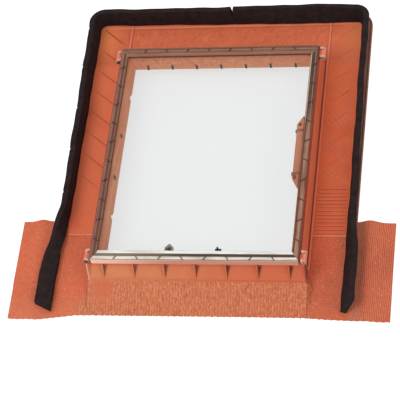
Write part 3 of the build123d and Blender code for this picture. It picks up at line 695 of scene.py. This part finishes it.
@dataclass(frozen=True)
class ClearCover:
    """Clear acrylic: open in the middle, smoky in the trough, and on each border paler or darker by painted
    highlights and painted shade.
    """

    sizes: HatchSizes
    name: str = "clear_cover"
    pane: Colour = (0.0, 0.10, 0.09)
    clear_alpha: float = 0.09
    tick: Colour = srgb(52, 40, 34)
    tick_brown: Colour = srgb(70, 44, 34)
    eye: Colour = srgb(214, 172, 156)
    eye_dull: Colour = srgb(172, 118, 100)
    # Skirt: painted light on the front, painted shade on the sides and at the back.
    lit_skirt_left: Colour = srgb(250, 208, 188)
    lit_skirt_right: Colour = srgb(200, 150, 128)
    back: Colour = srgb(112, 74, 56)
    shaded_skirt_left: Colour = srgb(104, 56, 42)
    shaded_skirt_right: Colour = srgb(112, 48, 30)
    # Each side's stripes are painted apart: the light stripes are painted highlights where the bead, the
    # ledge and the bevel catch light, the dark ones painted shade and the shaded moulding seen through the
    # trough, and the bottom's pearl stripes the pale floor seen through the bevel together with painted
    # highlights.
    left_border: tuple[Stripe, ...] = (
        Stripe(0.0, 0.0, tones((158, 108, 90), (182, 132, 114))),
        Stripe(0.0024, 0.0014, tones((96, 46, 32))),
        Stripe(0.0062, 0.0070, tones((112, 74, 58))),
        Stripe(0.0084, 0.0092, tones((94, 58, 42))),
        Stripe(0.0120, 0.0130, tones((124, 78, 58), (142, 98, 80))),
        Stripe(0.0172, 0.0184, tones((160, 98, 70))))
    right_border: tuple[Stripe, ...] = (
        Stripe(0.0, 0.0, tones((92, 38, 22), (112, 54, 36))),
        Stripe(0.0034, 0.0042, tones((118, 78, 64)), TAN),
        Stripe(0.0062, 0.0070, tones((150, 116, 102)), TAN),
        Stripe(0.0086, 0.0094, UMBER, TAN),
        Stripe(0.0146, 0.0154, UMBER, tones((104, 62, 44))),
        Stripe(0.0170, 0.0176, tones((200, 186, 172)), tones((134, 100, 78))))
    top_border: tuple[Stripe, ...] = (
        Stripe(0.0, 0.0, MUD),
        Stripe(0.0040, 0.0022, tones((134, 82, 60))),
        Stripe(0.0088, 0.0100, tones((94, 58, 40))),
        Stripe(0.0114, 0.0126, MUD),
        Stripe(0.0124, 0.0134, tones((134, 90, 70), (152, 106, 86))),
        Stripe(0.0190, 0.0200, tones((146, 88, 62))))
    bottom_border: tuple[Stripe, ...] = (
        Stripe(0.0, 0.0, PEARL),
        Stripe(0.0002, 0.0014, tones((150, 130, 118)), tones((122, 98, 84))),
        Stripe(0.0038, 0.0050, PEARL),
        Stripe(0.0118, 0.0128, tones((118, 110, 95)), tones((68, 54, 46))),
        Stripe(0.0206, 0.0216, tones((214, 206, 196), (246, 242, 234))))

    def build(self) -> bpy.types.Material:
        """Make the material.

        Each border is painted by the distance from the cover's edge, first the two ends, then the
        two sides, and the nearer edge decides which of the two shows.

        Returns:
            The cover's material.
        """
        graph = Graph(self.name)
        size = self.sizes
        spot = Spot(graph, size)
        from_side = size.cover_x - spot.across
        from_end = size.cover_y - spot.ahead
        from_edge = from_side.smallest(from_end)
        side_share = from_side / size.band_side
        end_share = from_end / size.band_end
        on_end = (side_share - end_share).rise(-0.04, 0.04)
        share = side_share.smallest(end_share)
        band = share.rise(1.0, 0.975)
        streaks = graph.noise(1.0, 4.0, 0.6, graph.stretched((200, 14, 200)), 0.3)
        wavy = graph.noise(1.0, 4.0, 0.6, graph.stretched((14, 200, 200)), 0.3)
        sides, side_solid = self._sides(graph, spot, from_side, streaks)
        ends, end_solid = self._ends(graph, spot, from_end, wavy)
        border = graph.mix(on_end, sides, ends)
        solid = side_solid * (1 - on_end) + end_solid * on_end

        outer = from_edge.rise(0.0006, 0.0002)
        border = graph.mix(outer, border, self._skirt(graph, spot, on_end))
        solid = solid.largest(outer * 0.95)
        above = spot.z.within(0.0878, 0.0892, 0.0002) * from_edge.rise(0.0032, 0.0036)
        above = above * share.rise(0.80, 0.74)
        ticks = graph.mix(on_end * spot.up.rise(0.01, -0.01), self.tick_brown, self.tick)
        border = graph.mix(above, border, ticks)
        solid = solid.largest(above * 0.95)
        eyes = spot.across.rise(size.cover_x + 0.0012, size.cover_x + 0.0018)
        cloudy = graph.noise(160.0, 3.0)
        eye_paint = graph.mix(cloudy.rise(0.35, 0.65), self.eye_dull, self.eye)
        border = graph.mix(eyes, border, eye_paint)
        solid = solid.largest(eyes * 0.9)

        colour = graph.mix(band.largest(eyes), self.pane, border)
        alpha = self.clear_alpha + (solid - self.clear_alpha) * band.largest(eyes)
        below = spot.z.rise(size.land_z + 0.0015, size.land_z - 0.0005) * (1 - outer.largest(eyes))
        alpha = alpha * (1 - below * 0.85)
        return graph.finish(Base_Color=colour, Roughness=0.14, Alpha=alpha, Specular_IOR_Level=0.5)

    def _border(self, graph: Graph, inward: Wire, grain: Wire, blend: Wire,
                stripes: Sequence[Stripe]) -> Wire:
        """Paint of one border, laid stripe by stripe from the first one.

        Args:
            graph: The material's graph.
            inward: Distance from the cover's edge.
            grain: Share of each stripe's lighter tone.
            blend: Share of each stripe's other tones.
            stripes: The border's stripes.

        Returns:
            The border's colour.
        """
        colour: Wire | None = None
        for stripe in stripes:
            paint = graph.mix(grain, *stripe.tones)
            if stripe.other:
                paint = graph.mix(blend, paint, graph.mix(grain, *stripe.other))
            if colour:
                paint = graph.mix(inward.rise(stripe.start, stripe.full), colour, paint)
            colour = paint
        return colour

    def _sides(self, graph: Graph, spot: Spot, inward: Wire, streaks: Wire) -> tuple[Wire, Wire]:
        """Paint and cover of the two long borders."""
        grain = streaks.rise(0.35, 0.65)
        lower = spot.up.rise(0.15, 0.04)
        left = self._border(graph, inward, grain, lower, self.left_border)
        right = self._border(graph, inward, grain, lower, self.right_border)
        solid = 0.90 - inward.rise(0.0172, 0.0184) * (1 - spot.right) * 0.35
        return graph.mix(spot.right, left, right), solid

    def _ends(self, graph: Graph, spot: Spot, inward: Wire, streaks: Wire) -> tuple[Wire, Wire]:
        """Paint and cover of the upper and the lower border."""
        grain = streaks.rise(0.35, 0.65)
        rightward = spot.x.rise(-0.20, 0.02)
        top = self._border(graph, inward, grain, rightward, self.top_border)
        bottom = self._border(graph, inward, grain, rightward, self.bottom_border)
        upper = spot.up.rise(-0.01, 0.01)
        solid = 0.92 - inward.rise(0.0236, 0.0246) * upper * 0.45
        return graph.mix(upper, bottom, top), solid

    def _skirt(self, graph: Graph, spot: Spot, on_end: Wire) -> Wire:
        """Outer face of the skirt: painted as lit and pinkish in front, and painted dark as shaded on the
        sides and at the back.
        """
        front = graph.mix(spot.x.rise(-0.25, -0.04), self.lit_skirt_left, self.lit_skirt_right)
        ends = graph.mix(spot.up.rise(-0.01, 0.01), front, self.back)
        sides = graph.mix(spot.right, self.shaded_skirt_left, self.shaded_skirt_right)
        return graph.mix(on_end, sides, ends)


@dataclass(frozen=True)
class HookFinish:
    """Latch hooks: terracotta at the hub and grey-green towards the tip, with pale cloudy patches of
    painted sheen on the tip.
    """

    name: str = "latch_hook"
    hub: Colour = srgb(214, 116, 80)
    tip: Colour = srgb(112, 126, 108)
    tip_sheen: Colour = srgb(196, 200, 182)
    tip_x: float = 0.2240
    blur: float = 0.0006
    roughness: float = 0.45

    def build(self) -> bpy.types.Material:
        """Make the material.

        Returns:
            The hooks' material.
        """
        graph = Graph(self.name)
        x = graph.axes()[0]
        cloudy = graph.noise(300.0, 3.0)
        # Painted sheen: pale cloudy patches on the tip.
        tip = graph.mix(cloudy.rise(0.45, 0.65) * 0.5, self.tip, self.tip_sheen)
        colour = graph.mix(x.rise(self.tip_x + self.blur, self.tip_x - self.blur), self.hub, tip)
        height = graph.noise(1100.0, 2.0)
        return graph.finish(Base_Color=colour, Roughness=self.roughness, Normal=graph.bump(height, 0.0003))


@dataclass(frozen=True)
class PlainFinish:
    """A finish of one colour with a little cloud and grain in it."""

    name: str
    colour: Colour
    shade: Colour
    roughness: float = 0.5
    metallic: float = 0.0
    cloud: float = 30.0
    grain: float = 800.0
    depth: float = 0.0003
    alpha: float = 1.0
    shine: float = 0.5

    def build(self) -> bpy.types.Material:
        """Make the material.

        Returns:
            The finished material.
        """
        graph = Graph(self.name)
        clouds = graph.noise(self.cloud, 4.0, 0.6)
        grain = graph.noise(self.grain, 2.0, 0.5)
        colour = graph.mix(clouds.rise(0.3, 0.7), self.shade, self.colour)
        rough = clouds * 0.15 + (self.roughness - 0.075)
        return graph.finish(Base_Color=colour, Roughness=rough, Metallic=self.metallic, Alpha=self.alpha,
                            Specular_IOR_Level=self.shine,
                            Normal=graph.bump(grain + clouds * 0.5, self.depth))


def surface(name: str, points: np.ndarray, tube: bool = False) -> bpy.types.Object:
    """Mesh object from a grid of points.

    Neighbouring rows and columns of the grid are joined by four-sided faces. A tube's last column is
    joined to its first one, and an end face closes it at its first and last rows.

    Args:
        name: The object's name.
        points: Array of rows, columns and X, Y, Z.
        tube: Whether the grid is a closed tube.

    Returns:
        The object, linked to the scene.
    """
    rows, columns = points.shape[:2]
    number = np.arange(rows * columns).reshape(rows, columns)
    if tube:
        number = np.hstack([number, number[:, :1]])
    quads = np.stack([number[:-1, :-1], number[1:, :-1], number[1:, 1:], number[:-1, 1:]], -1)
    faces = quads.reshape(-1, 4).tolist()
    if tube:
        ring = np.arange(columns)
        faces.append(ring.tolist())
        faces.append((ring[::-1] + (rows - 1) * columns).tolist())
    mesh = bpy.data.meshes.new(name)
    mesh.from_pydata(points.reshape(-1, 3).tolist(), [], faces)
    mesh.update()
    made = bpy.data.objects.new(name, mesh)
    bpy.context.scene.collection.objects.link(made)
    return made


def smooth(piece: bpy.types.Object, angle: float) -> None:
    """Shade a piece smooth, with creases where faces meet at more than an angle in degrees."""
    mesh = piece.data
    mesh.polygons.foreach_set("use_smooth", np.ones(len(mesh.polygons), bool))
    mesh.set_sharp_from_angle(angle=math.radians(angle))


@dataclass
class FoamStrip:
    """Foam strip that stands round the flange and falls over at its two loose ends."""

    middle_y: float
    outer_x: float = 0.366
    outer_y: float = 0.455
    width: float = 0.015
    height: float = 0.050
    base: float = 0.003
    on_apron: float = 0.0049
    corner: float = 0.030
    stand_end: float = -0.135
    lap: float = -0.157
    tail_end: float = -0.397
    fall_start: float = -0.128
    fall_length: float = 0.165
    stations: tuple[tuple[float, float, float], ...] = (
        (0.0, 0.0035, -2.0), (0.50, 0.0035, 6.0), (0.62, 0.0040, 9.0), (0.80, 0.0020, 7.0),
        (1.22, -0.0070, 24.0), (1.30, -0.0020, 12.0), (1.55, -0.0002, 10.0), (1.90, 0.0022, 14.0))
    left_lean: float = 90.0
    right_lean: float = 30.0
    left_shift: float = -0.003
    right_shift: float = 0.001
    fall_squash: float = 0.25
    left_squash: float = 0.84
    nick_x: tuple[float, float, float] = (0.0040, 0.0085, 0.0115)
    nick_depth: float = 0.026
    notch_first: float = 0.405
    notch_pitch: float = 0.1255
    notch_depth: float = 0.0034
    notch_reach: float = 0.0018
    round_off: float = 0.0012
    side_waves: Waves = ((0.0007, 31.0, 0.0), (0.0005, 83.0, 1.3))
    crown_waves: Waves = ((0.0007, 19.0, 0.4), (0.0005, 57.0, 0.0))
    left_slant: tuple[float, float] = (-0.014, 0.020)
    right_slant: tuple[float, float] = (-0.006, 0.016)
    lift_run: float = 0.02
    step: float = 0.003

    def _outline(self) -> np.ndarray:
        """Section in width and height, counter-clockwise with rounded corners."""
        steps = np.linspace(0, math.pi / 2, 4)
        corners = []
        for number, (a, b) in enumerate(((0, 0), (1, 0), (1, 1), (0, 1))):
            far = np.array([a * self.width, b * self.height])
            centre = np.abs(far - self.round_off)
            angles = steps + math.pi + number * math.pi / 2
            corners.append(centre + self.round_off * np.stack([np.cos(angles), np.sin(angles)], -1))
        return np.concatenate(corners)

    def _path(self) -> tuple[np.ndarray, np.ndarray]:
        """Foot of the strip's outer face and its outward direction, from the left tail to the right.

        Both sides are straight lines, the top corners quarter circles.

        Returns:
            Arrays of X, Y and of the outward direction.
        """
        side_y = np.arange(self.tail_end, self.outer_y - self.corner, self.step)
        turn = np.linspace(0, math.pi / 2, 18)
        top_x = np.arange(-self.outer_x + self.corner + self.step, self.outer_x - self.corner, self.step)
        top_x = np.union1d(top_x, self.nick_x)
        centre = np.array([self.outer_x - self.corner, self.outer_y - self.corner])
        left = np.stack([np.full_like(side_y, -self.outer_x), side_y], -1)
        arc = centre + self.corner * np.stack([np.cos(turn), np.sin(turn)], -1)
        top = np.stack([top_x, np.full_like(top_x, self.outer_y)], -1)
        mirror = np.array([-1.0, 1.0])
        path = np.concatenate([left, arc * mirror, top, arc[::-1], (left * mirror)[::-1]])
        out_arc = np.stack([np.cos(turn), np.sin(turn)], -1)
        out = np.concatenate([np.tile([-1.0, 0.0], (len(left), 1)), out_arc * mirror,
                              np.tile([0.0, 1.0], (len(top), 1)), out_arc[::-1],
                              np.tile([1.0, 0.0], (len(left), 1))])
        return path, out

    def _pose(self, path: np.ndarray) -> tuple[np.ndarray, np.ndarray, np.ndarray]:
        """Shift, lean and fall of the strip along its path.

        The standing part follows a few set places. Below the lap each tail turns over to its own
        lean by a smooth share.

        Args:
            path: Foot of the strip's outer face.

        Returns:
            The outward shift, the lean in radians and the share of the fall.
        """
        run = np.r_[0.0, np.cumsum(np.linalg.norm(np.diff(path, axis=0), axis=1))]
        run = run - (self.lap - self.tail_end)
        places, shifts, leans = np.array(self.stations).T
        left = path[:, 0] < 0
        fall = np.clip((self.fall_start - path[:, 1]) / self.fall_length, 0, 1)
        fall = fall * fall * (3 - 2 * fall)
        shift = np.interp(run, places, shifts)
        lean = np.interp(run, places, leans)
        shift = shift + (np.where(left, self.left_shift, self.right_shift) - shift) * fall
        lean = lean + (np.where(left, self.left_lean, self.right_lean) - lean) * fall
        return shift, np.radians(lean), fall

    def build(self) -> bpy.types.Object:
        """Make the strip.

        The section is carried along the path and turned about its lower outer edge. A nick is cut
        into the top by pulling the section's upper edge down, small notches by pulling its outer
        upper edge in, and the tails' ends are cut off at a slant.

        Returns:
            The strip.
        """
        path, out = self._path()
        section = self._outline()
        shift, lean, fall = self._pose(path)
        left = path[:, 0] < 0
        a = np.broadcast_to(section[None, :, 0], (len(path), len(section))).copy()
        b = np.broadcast_to(section[None, :, 1], a.shape).copy()
        crown = np.clip(b / self.height, 0, 1)
        squash = (1 - self.left_squash) * fall + self.fall_squash * 4 * fall * (1 - fall)
        b *= 1 - (squash * left)[:, None]
        on_top = path[:, 1] > self.outer_y - 1e-6
        depth = np.interp(path[:, 0], self.nick_x, (0.0, self.nick_depth, 0.0)) * on_top
        b = np.minimum(b, self.height - depth[:, None])
        phase = (path[:, 1] - self.notch_first) / self.notch_pitch
        near = np.abs(phase - np.round(phase)) * self.notch_pitch
        notch = self.notch_depth * np.exp(-(near / self.notch_reach) ** 2)
        notch = notch * (left & ~on_top) * (1 - fall)
        a = a + notch[:, None] * (crown > 0.9) * (a < self.width / 2)

        along = np.arange(len(path)) * self.step
        shifted = shift + ripple(along, self.side_waves)
        outward = -a * np.cos(lean)[:, None] + b * np.sin(lean)[:, None] + shifted[:, None]
        climb = np.clip((self.stand_end - path[:, 1]) / self.lift_run, 0, 1)
        lift = self.base + (self.on_apron - self.base) * climb
        upward = a * np.sin(lean)[:, None] + b * np.cos(lean)[:, None] + lift[:, None]
        upward = upward + ripple(along, self.crown_waves)[:, None] * crown
        upward = np.maximum(upward, self.base)
        points = np.empty((*outward.shape, 3))
        points[..., :2] = path[:, None, :] + out[:, None, :] * outward[..., None]
        points[..., 2] = upward
        share = np.clip((self.lap - path[:, 1]) / (self.lap - self.tail_end), 0, 1) ** 2
        foot, gain = np.where(left[:, None, None], self.left_slant, self.right_slant).T
        slant = foot.T + gain.T * crown
        points[..., 1] += self.middle_y + share[:, None] * slant
        piece = surface("foam_strip", points, tube=True)
        smooth(piece, 50.0)
        return piece


@dataclass
class Apron:
    """Pleated field below the foot of the frame, folded down to a flat wing on each side."""

    middle_y: float
    frame_x: float = 0.272
    fold_run: float = 0.012
    foot_y: float = -0.333
    foot_z: float = 0.0296
    apron_hem: float = -0.4165
    half_width: float = 0.473
    inner_x: float = 0.2712
    high_y: float = -0.193
    wing_y: float = -0.157
    hem: tuple[tuple[float, float], ...] = (
        (-0.473, -0.4305), (-0.395, -0.4305), (-0.300, -0.4175), (-0.100, -0.4165),
        (0.120, -0.4155), (0.270, -0.4155), (0.330, -0.4190), (0.473, -0.4235))
    ragged: Waves = ((0.0006, 410.0, 0.0), (0.0005, 1130.0, 0.7))
    wander: Waves = ((0.9, 23.0, 2.1), (0.8, 91.0, 5.0))
    pleat: float = 0.0072
    pleat_depth: float = 0.0018
    calm_x: float = 0.19
    upper_step: tuple[float, float] = (0.359, 0.368)
    corner_sag: float = 0.003
    ripple_rate: float = 95.0
    ripple_height: float = 0.0028
    mesh_rate: float = 1500.0
    mesh_height: float = 0.00025
    wing_lift: float = 0.0001
    left_crest: tuple[float, float, float] = (0.425, 0.004, 0.405)
    right_crest: tuple[float, float, float] = (0.407, 0.005, 0.385)
    thickness: float = 0.0012
    step: float = 0.0012
    flange: float = 0.0030
    floor: float = 0.0002
    ramp: float = 0.016

    def _hem_y(self, x: np.ndarray) -> np.ndarray:
        """Hem's Y at a place across, through a few set points, with a slightly ragged cut."""
        places, edge = np.array(self.hem).T
        return np.interp(x, places, edge) + ripple(x, self.ragged)

    def _crest(self, v: np.ndarray) -> np.ndarray:
        """Height of the field's underside from the foot, where v is 0, to the hem, where it is 1."""
        return self.foot_z * (1 - v) ** 1.15

    def field(self) -> bpy.types.Object:
        """Make the pleated middle with a sloping fold at each end.

        The height falls from the foot to the floor, plus a wave across X whose place wanders a
        little along Y, and finer dents where two waves of other lengths meet. Past the ends of the
        foot the sheet slopes down to the flange over a run that narrows towards the hem.

        Returns:
            The middle of the apron.
        """
        x = np.arange(-self.frame_x, self.frame_x + self.step / 2, self.step)
        v = np.linspace(0, 1, 48)
        gx, gv = np.meshgrid(x, v, indexing="ij")
        y = self.foot_y + (self._hem_y(x)[:, None] - self.foot_y) * gv
        wander = sum(turn * np.sin(gx * across + gv * down) for turn, across, down in self.wander)
        pleats = np.abs(np.sin(gx / self.pleat * math.pi + wander / 2)) ** 1.4
        dents = 0.35 * np.sin(gx * 1900.0 + gv * 9.0) * np.sin(gv * 55.0 + gx * 240.0)
        calm = 1 - 0.85 * np.clip((-gx - self.calm_x) / 0.03, 0, 1) * np.clip((0.75 - gv) / 0.3, 0, 1)
        relief = (pleats + dents * 0.5) * self.pleat_depth * (0.45 + 0.55 * gv) * calm
        relief = relief * np.clip((self.frame_x - np.abs(gx)) / 0.006, 0, 1)
        z = np.maximum(self._crest(gv) + relief, self.floor) + self.thickness
        z[:, 0] = self.foot_z
        middle = np.stack([gx, y, z], -1)
        points = np.concatenate([self._fold(Side.LEFT, v)[::-1], middle, self._fold(Side.RIGHT, v)])
        points[..., 1] += self.middle_y
        return self._sheet("apron_field", points)

    def _fold(self, side: Side, v: np.ndarray) -> np.ndarray:
        """Points of one sloping fold, from beside the field outward.

        Args:
            side: The fold's side.
            v: Shares of the way from the foot to the hem.

        Returns:
            Array of rows across, places along and X, Y, Z without the shift of the origin.
        """
        share = np.linspace(0, 1, 9)[1:]
        gs, gv = np.meshgrid(share, v, indexing="ij")
        x = self.frame_x + (self.fold_run * (1 - gv) + 0.0008) * gs
        hem = self._hem_y(side.value * x)
        y = self.foot_y + (hem - self.foot_y) * gv
        low = self._bend_z(y) + self.thickness
        high = np.maximum(self._crest(gv), self.floor) + self.thickness
        z = low + (high - low) * (1 - gs) ** 1.3
        z = np.maximum(z, low + 0.0002)
        return np.stack([side.value * x, y, z], -1)

    def _bend_z(self, y: np.ndarray) -> np.ndarray:
        """Level that a wing lies on: the flange, and past its front edge the floor."""
        bend = self.foot_y - 0.002
        ramp = np.clip((y - (bend - self.ramp)) / self.ramp, 0, 1)
        return self.floor + (self.flange - self.floor) * ramp

    def wing(self, side: Side) -> bpy.types.Object:
        """Make one flat wing, which lies on the flange and bends down to the floor below it.

        Its upper edge steps up beside the flange and has one crest. Away from the foam the wing
        rises in shallow ripples, sines across X, and its lower part has a fine mesh of ribs.

        Args:
            side: The wing's side.

        Returns:
            The wing.
        """
        sign = side.value
        x = np.arange(self.inner_x, self.half_width + self.step, self.step * 1.5)
        v = np.linspace(0, 1, 120)
        gx, gv = np.meshgrid(x, v, indexing="ij")
        crest_x, crest_high, rippled = self.left_crest if side is Side.LEFT else self.right_crest
        crest = crest_high * np.exp(-(((x - crest_x) / 0.02) ** 2))
        top = np.interp(x, self.upper_step, (self.high_y, self.wing_y))
        top = top + np.where(x > 0.37, crest, 0) - self.corner_sag * np.clip((x - 0.43) / 0.04, 0, 1)
        hem = self._hem_y(sign * x)
        y = top[:, None] + (hem - top)[:, None] * gv
        away = np.clip((gx - rippled) / 0.02, 0, 1)
        ripples = 0.5 + 0.5 * np.sin(gx * self.ripple_rate + np.sin(gv * 3.0) * 0.6)
        fine = self.mesh_height * np.sin(gx * self.mesh_rate + 0.5 * np.sin(y * 60.0))
        fine = fine * np.clip((gv - 0.3) * 2, 0, 1)
        z = self._bend_z(y) + self.thickness + self.wing_lift
        z = z + away * ripples * self.ripple_height + np.abs(fine)
        points = np.stack([sign * gx, y + self.middle_y, z], -1)
        if side is Side.LEFT:
            points = points[::-1]
        return self._sheet(f"apron_wing_{side.name.lower()}", points)

    def _sheet(self, name: str, points: np.ndarray) -> bpy.types.Object:
        """Surface with the sheet's thickness below it."""
        piece = surface(name, points[:, ::-1])
        wall = piece.modifiers.new("wall", "SOLIDIFY")
        wall.thickness = self.thickness
        wall.offset = -1.0
        smooth(piece, 60.0)
        return piece


@dataclass
class Studio:
    """Pale floor, soft daylight from the left and the camera."""

    eye: tuple[float, float, float] = (0.945214, -2.153657, 3.612971)
    right: tuple[float, float, float] = (0.973802, 0.112437, -0.197653)
    down: tuple[float, float, float] = (0.000532, -0.870328, -0.492472)
    forward: tuple[float, float, float] = (-0.227395, 0.479465, -0.847588)
    focal_pixels: float = 1700.0
    frame_pixels: float = 400.0
    sensor: float = 36.0
    key: tuple[float, float, float] = (-0.35, -0.35, 0.87)
    key_strength: float = 1.1
    fill: tuple[float, float, float] = (0.70, -0.30, 0.65)
    fill_strength: float = 0.6
    softness: float = 30.0
    sky_strength: float = 0.75
    floor_reach: float = 6.0
    floor_shade: float = 0.90
    seen_shade: float = 0.30
    glow: float = 0.90

    def build(self) -> None:
        """Set the floor, the lights and the camera."""
        self._floor()
        self._lights()
        self._camera()
        bpy.context.scene.view_settings.view_transform = "Standard"

    def _floor(self) -> None:
        """Lay a wide pale floor under the hatch.

        The camera, and rays through the panes, see a glow with a thinner shaded share, so that the
        floor is white and keeps the hatch's shadow.
        """
        edges = (-self.floor_reach, self.floor_reach)
        corners = np.array([[(x, y, 0.0) for y in edges] for x in edges])
        floor = surface("floor", corners)
        graph = Graph("floor")
        rays = [graph.node("ShaderNodeLightPath", output=f"Is {kind} Ray")
                for kind in ("Camera", "Glossy", "Transmission")]
        seen = rays[0].largest(rays[1]).largest(rays[2])
        shader = graph.node("ShaderNodeBsdfDiffuse", values={"Color": (self.floor_shade,) * 3})
        shaded = graph.node("ShaderNodeBsdfDiffuse", values={"Color": (self.seen_shade,) * 3})
        glow = graph.node("ShaderNodeEmission", values={"Color": (1.0, 1.0, 1.0), "Strength": self.glow})
        lit = graph.node("ShaderNodeAddShader", values={0: shaded, 1: glow})
        graph.node_output(graph.node("ShaderNodeMixShader", values={0: seen, 1: shader, 2: lit}))
        floor.data.materials.append(graph.material)

    def _lights(self) -> None:
        """Light the hatch by two soft suns and an even sky."""
        self._sun("key_sun", self.key, self.key_strength)
        self._sun("fill_sun", self.fill, self.fill_strength)
        world = bpy.data.worlds.new("studio")
        world.use_nodes = True
        backdrop = world.node_tree.nodes["Background"]
        backdrop.inputs["Color"].default_value = (1.0, 1.0, 1.0, 1.0)
        backdrop.inputs["Strength"].default_value = self.sky_strength
        bpy.context.scene.world = world

    def _sun(self, name: str, towards: tuple[float, float, float], strength: float) -> None:
        """Add a soft sun that shines from a direction."""
        lamp = bpy.data.lights.new(name, "SUN")
        lamp.energy = strength
        lamp.angle = math.radians(self.softness)
        sun = bpy.data.objects.new(name, lamp)
        sun.rotation_mode = "QUATERNION"
        sun.rotation_quaternion = Vector(towards).to_track_quat("Z", "Y")
        bpy.context.scene.collection.objects.link(sun)

    def _camera(self) -> None:
        """Stand the camera where the photograph was taken from."""
        lens = bpy.data.cameras.new("camera")
        lens.sensor_width = self.sensor
        lens.lens = self.focal_pixels / self.frame_pixels * self.sensor
        camera = bpy.data.objects.new("camera", lens)
        turn = Matrix((self.right, [-c for c in self.down], [-c for c in self.forward])).transposed()
        camera.matrix_world = Matrix.Translation(Vector(self.eye)) @ turn.to_4x4()
        bpy.context.scene.collection.objects.link(camera)
        bpy.context.scene.camera = camera


@dataclass
class RoofHatch:
    """The whole hatch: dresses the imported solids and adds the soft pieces."""

    nodes: dict[str, bpy.types.Object]
    sizes: HatchSizes

    def dress(self, material: bpy.types.Material, *names: str) -> None:
        """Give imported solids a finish.

        Args:
            material: The finish.
            names: The solids' names.
        """
        for name in names:
            mesh = self.nodes[name].data
            mesh.materials.clear()
            mesh.materials.append(material)
            log.info("finish %s on %s", material.name, name)

    def add(self, piece: bpy.types.Object, material: bpy.types.Material, slot: str,
            *stands_for: str) -> bpy.types.Object:
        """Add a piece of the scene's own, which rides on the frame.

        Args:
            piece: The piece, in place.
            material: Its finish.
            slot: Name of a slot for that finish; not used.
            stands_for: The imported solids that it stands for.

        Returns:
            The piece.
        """
        piece.data.materials.append(material)
        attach(piece, FRAME_BODY)
        if stands_for:
            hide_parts(*stands_for)
        log.info("piece %s with %d faces", piece.name, len(piece.data.polygons))
        return piece

    def build(self) -> None:
        """Make every piece and finish."""
        terracotta = Terracotta(self.sizes).build()
        sheet = PleatedSheet(self.sizes).build()
        grip = PlainFinish("latch_terracotta", srgb(250, 154, 112), srgb(232, 132, 94), 0.45,
                           grain=1100.0).build()
        foam = PlainFinish("black_foam", srgb(45, 34, 34), srgb(33, 24, 25), 0.92, cloud=60.0,
                           grain=1400.0, depth=0.0006, shine=0.12).build()
        gasket = PlainFinish("gasket_rubber", srgb(52, 47, 44), srgb(38, 34, 33), 0.7).build()
        dark = PlainFinish("dark_plastic", srgb(84, 86, 76), srgb(58, 60, 54), 0.45).build()
        clip = PlainFinish("clip_plastic", srgb(88, 48, 38), srgb(66, 36, 30), 0.5).build()
        steel = PlainFinish("dull_steel", srgb(178, 172, 160), srgb(140, 132, 122), 0.38, 1.0).build()
        smoked = PlainFinish("smoked_plastic", srgb(204, 188, 156), srgb(140, 124, 100), 0.35,
                             cloud=160.0, alpha=0.94).build()
        inner = PlainFinish("inner_acrylic", (0.0, 0.10, 0.09), (0.0, 0.08, 0.08), 0.2, alpha=0.07,
                            depth=0.00005).build()
        self.dress(terracotta, "base_frame", "apron_bead")
        self.dress(grip, "latch_grip", "latch_bracket_lower", "latch_bracket_upper")
        self.dress(ClearCover(self.sizes).build(), "cover")
        self.dress(inner, "inner_pane")
        self.dress(gasket, "rim_gasket", "buffer_peg")
        self.dress(clip, "lining_clips", "bracket_screws")
        self.dress(steel, "hinge_pin_clips", "strike_plate_lower", "strike_plate_upper",
                   "strike_screws", "catch_pin", "latch_shaft")
        self.dress(dark, "hinge_pin_lower", "hinge_pin_upper", "catch_bush")
        self.dress(HookFinish().build(), "latch_hook_lower", "latch_hook_upper")
        self.dress(smoked, "turn_catch")
        strip = self.add(FoamStrip(self.sizes.middle_y).build(), foam, "foam", "foam_seal")
        apron = Apron(self.sizes.middle_y)
        self.add(apron.field(), sheet, "apron", "apron")
        for side in Side:
            self.add(apron.wing(side), sheet, "apron")


def main() -> None:
    """Build the hatch and its studio."""
    logging.basicConfig(level=logging.INFO, format="%(name)s: %(message)s")
    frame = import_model()
    hatch = RoofHatch(frame["nodes"], HatchSizes.from_frame())
    hatch.build()
    Studio().build()
    bpy.context.view_layer.update()


if __name__ == "__main__":
    main()
